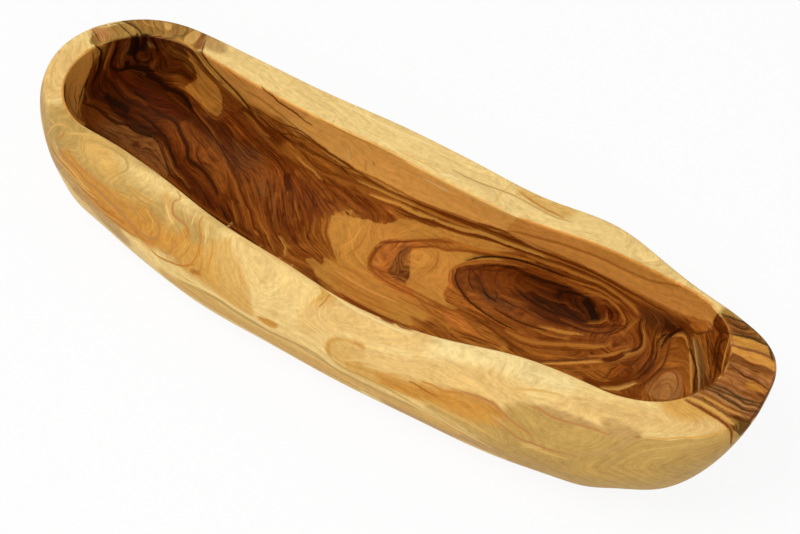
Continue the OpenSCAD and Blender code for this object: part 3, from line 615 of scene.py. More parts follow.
    ("straw", 0.6, [(-60, -57), (-58.6, -61.6), (-57.4, -66)]),
    ("wheat", 1, [(-8, -6), (-7, -14), (-9, -22)]),
    ("tan", 0.9, [(-4, -8), (-2.6, -16), (-4.4, -24)]),
    ("honey", 1, [(1, -6), (3, -14), (2, -22)]),
    ("tan", 0.8, [(-10, -30), (-4, -31), (4, -30.6), (12, -31.4)]),
    ("tan", 0.9, [(-6, -37.6), (4, -38.6), (14, -39), (26, -38.4)]),
    ("apricot", 0.8, [(-4, -34.6), (6, -35.4), (18, -35.6), (30, -34.4)]),
    ("tan", 0.7, [(10, -42), (22, -41.8), (34, -40.6)]),
    ("amber", 0.7, [(30, -31.4), (40, -31), (50, -31.6)]),
    ("sand", 0.9, [(27, -4), (28, -10), (27, -16)]),
    ("amber", 0.8, [(31, 1), (34, -5), (33.4, -12)]),
    ("black", 3, [(-168.4, 37), (-165.4, 33), (-163.4, 27.6)]),
    ("black", 2, [(-150, 3), (-146, 2.6), (-141, 2.4)]),
    ("dark", 2, [(121.6, 19.4), (124.6, 17), (126, 13.6), (125.6, 10.6)]),
    ("dark", 2.4, [(149.4, 25), (147.6, 20.6), (146.6, 16), (146.8, 11)]),
    ("black", 1.6, [(82, 3.2), (86, 2.2), (90, 3.4)]),
    # Darker along the outline at the top right: partly painted shade where the rounded edge turns away.
    ("ash", 1.6, [(176, 43.2), (183, 41.2), (189, 37.4), (193.4, 32)]),
    ("leather", 1.6, [(84, 18.6), (92, 19.4), (100, 19.4)]),
    ("sand", 2, [(2, 14.4), (10, 15.2), (20, 17.2)]),
    ("oat", 0.6, [(98.9, -39.6), (98.7, -40.4)]),
    ("stain", 0.5, [(-55.8, 42), (-55.6, 41.3)]),
    ("stain", 0.6, [(104.6, 53.3), (104.4, 52.7)]),
    ("reed", 1, [(53.8, 56), (54.6, 56)]),
    ("russet", 0.7, [(-99.4, 27.4), (-90.9, 27.4), (-83, 26.4), (-74.6, 26.4), (-67, 27.5), (-57.7, 26),
        (-49.2, 23.9), (-39.1, 22.9), (-28.4, 20.9)]),
    ("brown", 0.7, [(-107.7, 30.6), (-97.8, 26.8), (-90.7, 25.3), (-82.8, 22.6), (-74.4, 20.9),
        (-68.5, 22.7), (-61, 23.8)]),
    ("russet", 0.7, [(-61.3, 19.1), (-52.7, 18.6), (-46.3, 19.7), (-39, 19.2), (-30.7, 20.9), (-19.9, 20.4),
        (-11.5, 19.9)]),
    ("rust", 0.8, [(-54.2, 13.9), (-45.2, 14.5), (-36.6, 14), (-27.2, 15.7), (-18.7, 16.8)]),
    ("grey", 1.2, [(157.6, 24.7), (163.5, 17.3), (169.3, 9.9), (173.8, 1.8)]),
    ("reed", 0.9, [(157.3, 22.2), (162.9, 14.6), (168.9, 6.3), (172.8, -1)]),
    ("ash", 0.9, [(162.4, 25.6), (167.6, 17.7), (173, 10.1), (175.7, 3.1)]),
]

# Patches: tone, softness of the edge in mm, then the outline
PATCHES = [
    ("rose", 1.5, [(167, 43), (172, 43.6), (184, 41.8), (192, 36), (197, 29), (200, 18), (201, 4),
        (201, -12), (198, -12), (194, -10.5), (184, -9.6), (170.6, -9.4), (173, -3), (176.5, 3), (178, 12),
        (176.5, 20), (174, 28), (169, 35), (164, 40)]),
    ("olive", 1.5, [(-190, 22), (-186, 32), (-180, 40), (-170, 48), (-160, 52), (-150, 53.8), (-143, 54.4),
        (-139.5, 50), (-138.5, 44), (-148, 43), (-158, 41.5), (-167, 37), (-174, 31), (-180, 24),
        (-185, 18), (-189, 18)]),
    ("olive", 1, [(-183, 38), (-176, 44), (-167, 49), (-163, 46), (-160, 43), (-165, 40), (-172, 39),
        (-178, 39.5)]),
    ("oat", 0.8, [(-165, 49.5), (-161, 50), (-159, 47), (-162, 46)]),
    ("olive", 0.8, [(-160, 49), (-156, 51.5), (-153, 49), (-154, 45.5), (-158, 46)]),
    ("oat", 0.8, [(-149, 53), (-145.5, 53.5), (-144, 49), (-145, 44), (-148, 43.5), (-150, 47)]),
    ("drab", 1, [(-144.5, 53.5), (-141.5, 53.5), (-139.5, 44), (-142, 43.5), (-143.5, 48)]),
    ("clay", 0.8, [(-190, 28), (-186, 30), (-182, 26), (-184, 21), (-188, 22)]),
    ("wheat", 1.2, [(-186.5, 14), (-187, 6), (-186.5, 0), (-184.5, -8), (-181, -15), (-176, -21),
        (-170, -25), (-163, -27.5), (-157, -27.8), (-160, -24), (-167, -19.5), (-171, -13.5), (-173.5, -7),
        (-176, 0), (-179, 7), (-182, 13)]),
    ("brown", 1.4, [(-172, 33), (-166, 37), (-158, 39.5), (-150, 40.5), (-150, 34), (-153, 28), (-154, 21),
        (-160, 18), (-165, 13), (-168, 22)]),
    ("umber", 1, [(-151, 40), (-144, 39.6), (-139, 35.5), (-134, 32.5), (-130, 28), (-130.3, 26),
        (-134, 24.8), (-139, 23.9), (-146, 22.4), (-151, 21.8), (-152.6, 27), (-151.6, 34)]),
    ("rust", 1, [(-144, 34.5), (-138, 32.5), (-134, 29.4), (-134.6, 27.4), (-139, 27.8), (-143, 30.5)]),
    ("honey", 0.8, [(-146, 40.5), (-139, 38.3), (-132, 34.5), (-127, 32.3), (-122, 30.6), (-118, 29.2),
        (-114.5, 27), (-111, 24), (-108, 20), (-106, 17), (-105.3, 14.5), (-106, 12.8), (-109, 12.6),
        (-113, 13.4), (-118, 15.2), (-124, 16.5), (-128.6, 17.6), (-131, 20), (-129.6, 23), (-128.7, 25.5),
        (-129, 27.8), (-133, 31.2), (-139, 34.5), (-145, 37.5)]),
    ("red", 1.4, [(-168, 8), (-160, 9.5), (-150, 9.6), (-140, 8.6), (-130, 8), (-122, 6.5), (-118, 4),
        (-124, 1), (-134, 1.6), (-142, 2.6), (-150, 1.6), (-158, 4), (-166, 3.4)]),
    ("dark", 1, [(-158, -8), (-150, -8), (-143, -9.5), (-137, -11), (-130, -11.6), (-122, -11.4),
        (-117, -13), (-113, -16), (-108, -20.4), (-103, -24.4), (-98, -27.6), (-94, -29.6), (-98, -29),
        (-103, -27), (-109, -22.8), (-114, -18.4), (-118, -15.4), (-123, -14.4), (-128, -15.4), (-134, -16),
        (-140, -15.8), (-146, -14), (-152, -12)]),
    ("rust", 1.4, [(-165, -14), (-164, -11.5), (-158, -11), (-153, -12.5), (-151, -14.5), (-155, -15),
        (-160, -14.5)]),
    ("drab", 1, [(-147, -27.3), (-146, -19.5), (-143, -17.6), (-138, -16.8), (-132, -16.6), (-127, -16.2),
        (-121, -17), (-118, -19.6), (-113, -24), (-108, -28), (-104, -31.6), (-104, -33), (-115, -31),
        (-130, -28.6)]),
    ("leather", 1.2, [(-167, -18), (-160, -17), (-152, -18.6), (-148, -20), (-148, -27), (-158, -27),
        (-165, -24)]),
    ("leather", 1.2, [(-122, 30.5), (-113, 29.6), (-104, 28), (-99, 25), (-102, 16), (-104, 10),
        (-109, 11.6), (-105, 14), (-107.4, 20), (-111, 25)]),
    ("apricot", 1.2, [(-136, 42.6), (-120, 41.6), (-100, 40), (-80, 39.4), (-70, 39.2), (-70, 34),
        (-78, 31), (-90, 29.6), (-98, 29.8), (-105, 32), (-114, 34.4), (-124, 38), (-131, 41)]),
    ("leather", 1.4, [(-118, 2), (-108, -1), (-100, -3.6), (-93, -6), (-88, -10), (-92, -13), (-100, -11.5),
        (-106, -9), (-112, -6), (-118, -3)]),
    ("brown", 1.4, [(-110, 9.5), (-100, 10.5), (-93, 8), (-90, 3), (-84, -2.6), (-78, -7), (-80, -9),
        (-88, -4), (-95, 0), (-101, 3.4), (-107, 6)]),
    ("rust", 1.4, [(-86, 14), (-78, 13.4), (-71, 10.6), (-70, 7), (-76, 6), (-83, 8.4)]),
    ("copper", 1.2, [(-100, -9), (-94, -8.5), (-90, -10), (-84, -14), (-80, -18), (-77, -22), (-75, -25),
        (-79, -24.6), (-86, -20.5), (-92, -17.6), (-97, -14.6), (-100, -11.6)]),
    ("brown", 1.2, [(-104, -22), (-99, -21), (-92, -24), (-85, -27.6), (-78, -30), (-72, -34), (-76, -36),
        (-82, -34.6), (-88, -33.4), (-93, -31), (-98, -28.2), (-102, -26)]),
    ("peach", 1.2, [(-70, 39), (-40, 39.1), (0, 38.8), (30, 37.8), (52, 38.8), (52, 30), (40, 26.6),
        (20, 23.4), (0, 21.6), (-25, 21.4), (-45, 23), (-60, 26), (-70, 27.5), (-70, 33)]),
    ("leather", 1.6, [(-38, 10), (-30, 11), (-20, 11.6), (-12, 10.6), (-14, 4), (-20, -2), (-26, -7),
        (-34, -4), (-38, 2)]),
    ("leather", 1.6, [(-50, -8), (-45, -9), (-40, -14), (-36, -20), (-38, -26), (-44, -24), (-48, -17)]),
    ("drab", 1.4, [(-66, -11), (-61, -12.5), (-57.6, -16), (-59, -18.6), (-63, -16.4)]),
    ("sand", 1, [(-24, -7.6), (-22, -12), (-19.6, -17), (-15, -22), (-9, -27), (-5, -30.4), (-8, -30.8),
        (-12.6, -30.6), (-11.6, -33), (-10.6, -35.4), (-14, -34.8), (-17.6, -34.6), (-19.4, -36.6),
        (-16, -38.2), (-11, -41), (-6, -43.4), (4, -44.4), (14, -44), (30, -43.8), (44, -41.6), (40, -37.4),
        (47, -36), (45, -32), (40, -31), (34, -28.8), (20, -28.6), (9, -26), (6, -22.5), (4, -17), (4, -10),
        (7, -5.4), (13, -1.6), (20, 3.4), (28, 9.4), (24, 11.5), (7, 9), (3, 4.5), (-6, 0), (-14, -2.5),
        (-21, -6.4)]),
    ("sand", 5.6, [(-150, -50), (-140, -51), (-125, -52), (-110, -52.6), (-98, -54), (-92, -55.6),
        (-87, -60), (-86, -64), (-90, -67), (-100, -65), (-115, -61), (-130, -57), (-142, -53.6)]),
    ("sand", 1.2, [(-100, -55), (-96, -56.6), (-92, -59), (-89.6, -63), (-90, -66), (-94, -66),
        (-98, -62.6), (-101, -58.6)]),
    ("sand", 0.8, [(-77, -52), (-74.6, -54), (-74, -57.6), (-76, -57), (-78.6, -54)]),
    ("pale", 1.4, [(-56, -45), (-50, -44.4), (-40, -44.8), (-20, -45.2), (-6, -46.2), (-2, -50), (-4, -60),
        (-4, -74), (-9, -74), (-20, -75.6), (-24, -73.6), (-28, -68.6), (-33, -63.4), (-38, -59.4),
        (-43, -55.6), (-49, -51), (-54, -48)]),
    ("oat", 4.2, [(-57, -46), (-52, -51), (-46, -55), (-40, -60), (-34, -64.6), (-29, -70), (-24, -75),
        (-26, -78), (-34, -77.6), (-42, -75), (-48, -68), (-52, -60), (-56, -54)]),
    ("sand", 0.8, [(-21, -76.6), (-17, -76), (-13, -74.6), (-9, -75.4), (-7.6, -76.8), (-10, -78),
        (-13, -78.2), (-17, -77.4)]),
    ("sand", 6.4, [(30, -75.4), (38, -73.4), (46, -71.6), (52, -69.4), (60, -68.4), (66, -66), (75, -65.6),
        (85, -66), (95, -64.6), (104, -66), (110, -69), (100, -72), (85, -74), (70, -75), (50, -76.4),
        (36, -77)]),
    ("stain", 3.8, [(113, -50), (116, -48), (120, -46), (126, -44.6), (134, -43.6), (142, -42.6),
        (150, -42), (156, -43), (152, -45), (144, -46), (136, -47), (130, -48.6), (122, -49.8),
        (116, -50.6)]),
    ("sand", 6.4, [(80, -61.6), (85, -59.6), (90, -58.6), (97, -58.8), (104, -60), (110, -61.4),
        (116, -62.6), (122, -63.2), (130, -63.6), (126, -64.8), (118, -64.8), (112, -64), (104, -62.6),
        (100, -64.6), (106, -66), (112, -67), (116, -68.2), (110, -68.6), (104, -67.4), (96, -66.6),
        (88, -68), (80, -69.4), (74, -68)]),
    ("reed", 6.4, [(108, -52), (118, -51.6), (128, -50), (140, -47), (152, -44), (158, -44), (156, -52),
        (150, -60), (138, -65), (126, -67.6), (116, -69.6), (110, -66), (104, -58)]),
    ("amber", 1.6, [(-95, 28.2), (-85, 27.2), (-70, 26.2), (-55, 25), (-45, 23.4), (-30, 21.6), (-15, 20.6),
        (-15, 18.6), (-30, 19.4), (-45, 20.2), (-60, 21.4), (-72, 21.6), (-82, 22.6)]),
    ("oat", 4.8, [(20, -66), (28, -66.4), (36, -69), (42, -72), (48, -76), (40, -78), (30, -78.4),
        (22, -76), (18, -71)]),
    ("russet", 0.9, [(-152, 25), (-140, 24.4), (-133, 23.8), (-129.4, 22), (-130, 19), (-134, 18.4),
        (-141, 18.8), (-150, 19.6)]),
    ("copper", 1.6, [(46.5, 2), (50, 8), (56, 12.6), (64, 16.6), (74, 19), (84, 20.6), (84, 18.4),
        (74, 15.8), (66, 12.4), (60, 8.4), (55, 4), (52, 0), (48, -2)]),
    ("reed", 6.4, [(98, -71), (108, -67.4), (120, -68), (124, -72), (122, -77), (108, -78), (96, -77),
        (84, -76.6), (74, -76.4), (76, -73.6), (88, -73.6)]),
    # The facet at the right-hand front, below the ridge: its reed tone is partly the wood's own colour and
    # partly painted shade, for a face that turns away from the lamp.
    ("reed", 0.7, [(194, -13), (192, -17), (190, -20), (188, -22), (184, -25.5), (180, -28), (177, -30.5),
        (174, -33), (170, -35), (165, -37), (162, -39.5), (161, -42), (159.5, -45), (157.5, -47.5),
        (156, -49.5), (155.5, -52), (154, -54), (150, -57), (146, -60), (142, -62), (138, -63.5),
        (133, -65.4), (128, -68), (120, -74), (122, -85), (137, -84), (152, -79), (168, -72), (184, -59),
        (194, -45), (200, -30), (203.5, -18), (199, -12)]),
    ("wheat", 1.2, [(52, 40), (70, 42.5), (90, 46), (120, 47.3), (145, 46), (158, 42.5), (159.5, 37),
        (155, 33.5), (140, 32.6), (115, 32.6), (100, 32.6), (80, 31.5), (65, 30.8), (52, 30)]),
    ("wheat", 1.6, [(62, 36.6), (75, 39.5), (85, 42.6), (95, 46.4), (120, 47), (137, 46.3), (130, 43.6),
        (122, 41.2), (110, 40.5), (98, 40.2), (86, 38.8), (76, 37), (66, 34.4), (56, 32.4)]),
    ("tan", 1, [(151, 34), (157, 35.2), (160.5, 36), (160, 33), (161.5, 31.6), (158, 31), (154, 31.5),
        (150, 32), (143, 32.4)]),
    ("glow", 0.8, [(153, 30.4), (156, 31), (158.8, 30.6), (157.5, 28.4), (154, 28), (151.5, 28.8)]),
    ("leather", 1.4, [(-18, 9), (-8, 9.8), (-2, 8.6), (2.6, 7.6), (2.4, 3.4), (-2, 0.5), (-8, -0.5),
        (-16, -3)]),
    ("drab", 1.8, [(14.5, -4), (18.5, -3.5), (22, -8.5), (25, -14), (28.5, -19), (30.5, -22.6), (24, -23.6),
        (17.5, -21), (15.5, -14)]),
    ("sand", 1.2, [(28, 1.8), (33, 3), (37, 4.8), (42, 8), (50, 11), (56, 13.4), (60, 13.8), (53, 9.8),
        (46, 4.5), (41.6, -2), (41.5, -6), (45, -12.4), (45.5, -17), (49, -21.4), (56, -22.2), (50, -23.8),
        (30, -23.6), (28, -18.6), (24.5, -13), (20, -5)]),
    ("sand", 1, [(8, 11.5), (24, 14), (36, 17), (46, 20), (56, 21.6), (62, 21.8), (58, 19), (50, 15),
        (40, 12.2), (30, 10.6), (20, 8.5)]),
    ("ochre", 1.2, [(58, -24), (64, -25.4), (70, -28), (76, -29.4), (70, -31), (64, -32), (58, -31.6),
        (50, -29), (44, -28)]),
    ("wheat", 1, [(60, -28.4), (66, -28.2), (72, -29.2), (78, -30), (72, -30.6), (64, -31)]),
    ("russet", 1.4, [(43.5, -2), (46, 1.5), (51, 6.5), (57, 10.4), (64, 13.6), (71, 16), (80, 17.2),
        (90, 17.8), (100, 17.2), (110, 17.2), (117, 17.4), (121.5, 13.5), (122, 9), (119, 5.6), (112, 2.2),
        (104, 0), (94, -1.4), (84, -1.4), (74, -2.6), (66, -6), (58, -10.4), (50, -11.6), (46, -9)]),
    ("umber", 1.6, [(70, 13.6), (80, 15.6), (90, 17), (100, 16.6), (106, 17), (112, 13), (115.5, 8.4),
        (111, 4.4), (100, 3), (88, 2.4), (78, 4), (70, 6.4)]),
    ("coal", 0.9, [(102.5, 16.4), (107, 15.6), (110.5, 12.8), (113, 10), (115, 8), (112, 6.6), (108.5, 7.2),
        (106.5, 10), (103.5, 12.5), (101, 14.6)]),
    ("red", 1.3, [(116, 17), (120, 16.4), (121.8, 13.4), (120.8, 10), (118, 10.6), (115, 12.6),
        (113, 15.6)]),
    ("amber", 1, [(147, 14), (147, 17), (150.5, 21), (154, 21), (158, 16.5), (163, 9.5), (168, 2),
        (171.5, -4), (168, -8), (163, -13), (156, -18), (152, -12), (150.8, -2), (150.4, 6)]),
    ("amber", 0.9, [(147.6, 16.6), (150, 19.2), (153, 20), (156, 17.6), (158.5, 13.5), (155, 13.8),
        (150.6, 14)]),
    ("clay", 2, [(155, -2), (158.5, 2), (162, 1.5), (165, -3), (167, -8), (165, -12), (160.5, -15),
        (156.5, -15.6), (153, -14), (152.6, -8)]),
    ("drab", 1.2, [(157, 23.8), (162, 21), (165, 17), (168, 14), (171, 9), (173, 5), (173.6, 1.6),
        (170.5, 0.4), (168, 5.6), (165.6, 9.6), (162, 13.6), (158.6, 17), (156.4, 20.6)]),
    ("dun", 1.4, [(168, 9.6), (172, 7), (174.4, 3), (173.4, -1.5), (171, -3), (169, 1), (166.8, 6)]),
    ("leather", 1.2, [(161, 41), (165, 39.5), (169.4, 35), (172.6, 27), (176, 14), (177.5, 5), (174.6, 3.4),
        (171.5, 12), (168, 19), (164, 24), (160.6, 27.4), (160.4, 33)]),
    ("rust", 1, [(162, 39.6), (166, 38), (168.5, 34.4), (165, 33.2), (161.6, 34.4)]),
    ("drab", 1, [(160, 42.4), (168, 43.8), (176, 43.8), (184, 41.8), (189.5, 39.4), (186, 38.6),
        (180, 38.6), (176, 37.4), (171, 35.6), (168, 37), (163.6, 40.4)]),
    ("sand", 0.9, [(171.5, 34.2), (176, 36.6), (182, 37.8), (190, 38), (193, 34.6), (190, 33.8), (184, 33),
        (178, 31.4), (174, 30.4)]),
    ("wheat", 0.9, [(174, 28.8), (180, 29.6), (186, 31.6), (192, 32), (196.5, 31), (198, 27.4), (192, 27.6),
        (186, 25.8), (180, 26.3), (175.4, 26.2)]),
    ("drab", 1, [(176, 24.8), (182, 24.8), (187, 24.6), (192, 25.8), (198.6, 25.2), (199.4, 22),
        (190, 21.8), (182, 22), (176.6, 21)]),
    ("rose", 0.8, [(177, 20.6), (184, 20.8), (190, 21), (198, 21.2), (199.5, 18), (194, 18.4), (188, 18.4),
        (183, 19), (177.5, 18.6)]),
    ("amber", 1, [(178, 17.8), (184, 17.4), (188, 16.2), (190, 13), (187, 10.4), (182, 9.6), (177.6, 9.8)]),
    ("honey", 0.9, [(189, 16.4), (194, 16.8), (198.6, 15.4), (198, 13.4), (193, 12.2), (190, 12.4)]),
    ("drab", 0.9, [(191, 11.8), (194, 12), (199.8, 13.4), (200.6, 9.4), (195, 9.2), (190, 8.4)]),
    ("dun", 1.2, [(175, 4.4), (178, 4.8), (179.6, 2.8), (178, 0.8), (175, 1)]),
    ("grey", 1.2, [(193, -4.4), (200.8, -3), (200.8, -12), (199, -15), (196, -11), (194, -9)]),
]

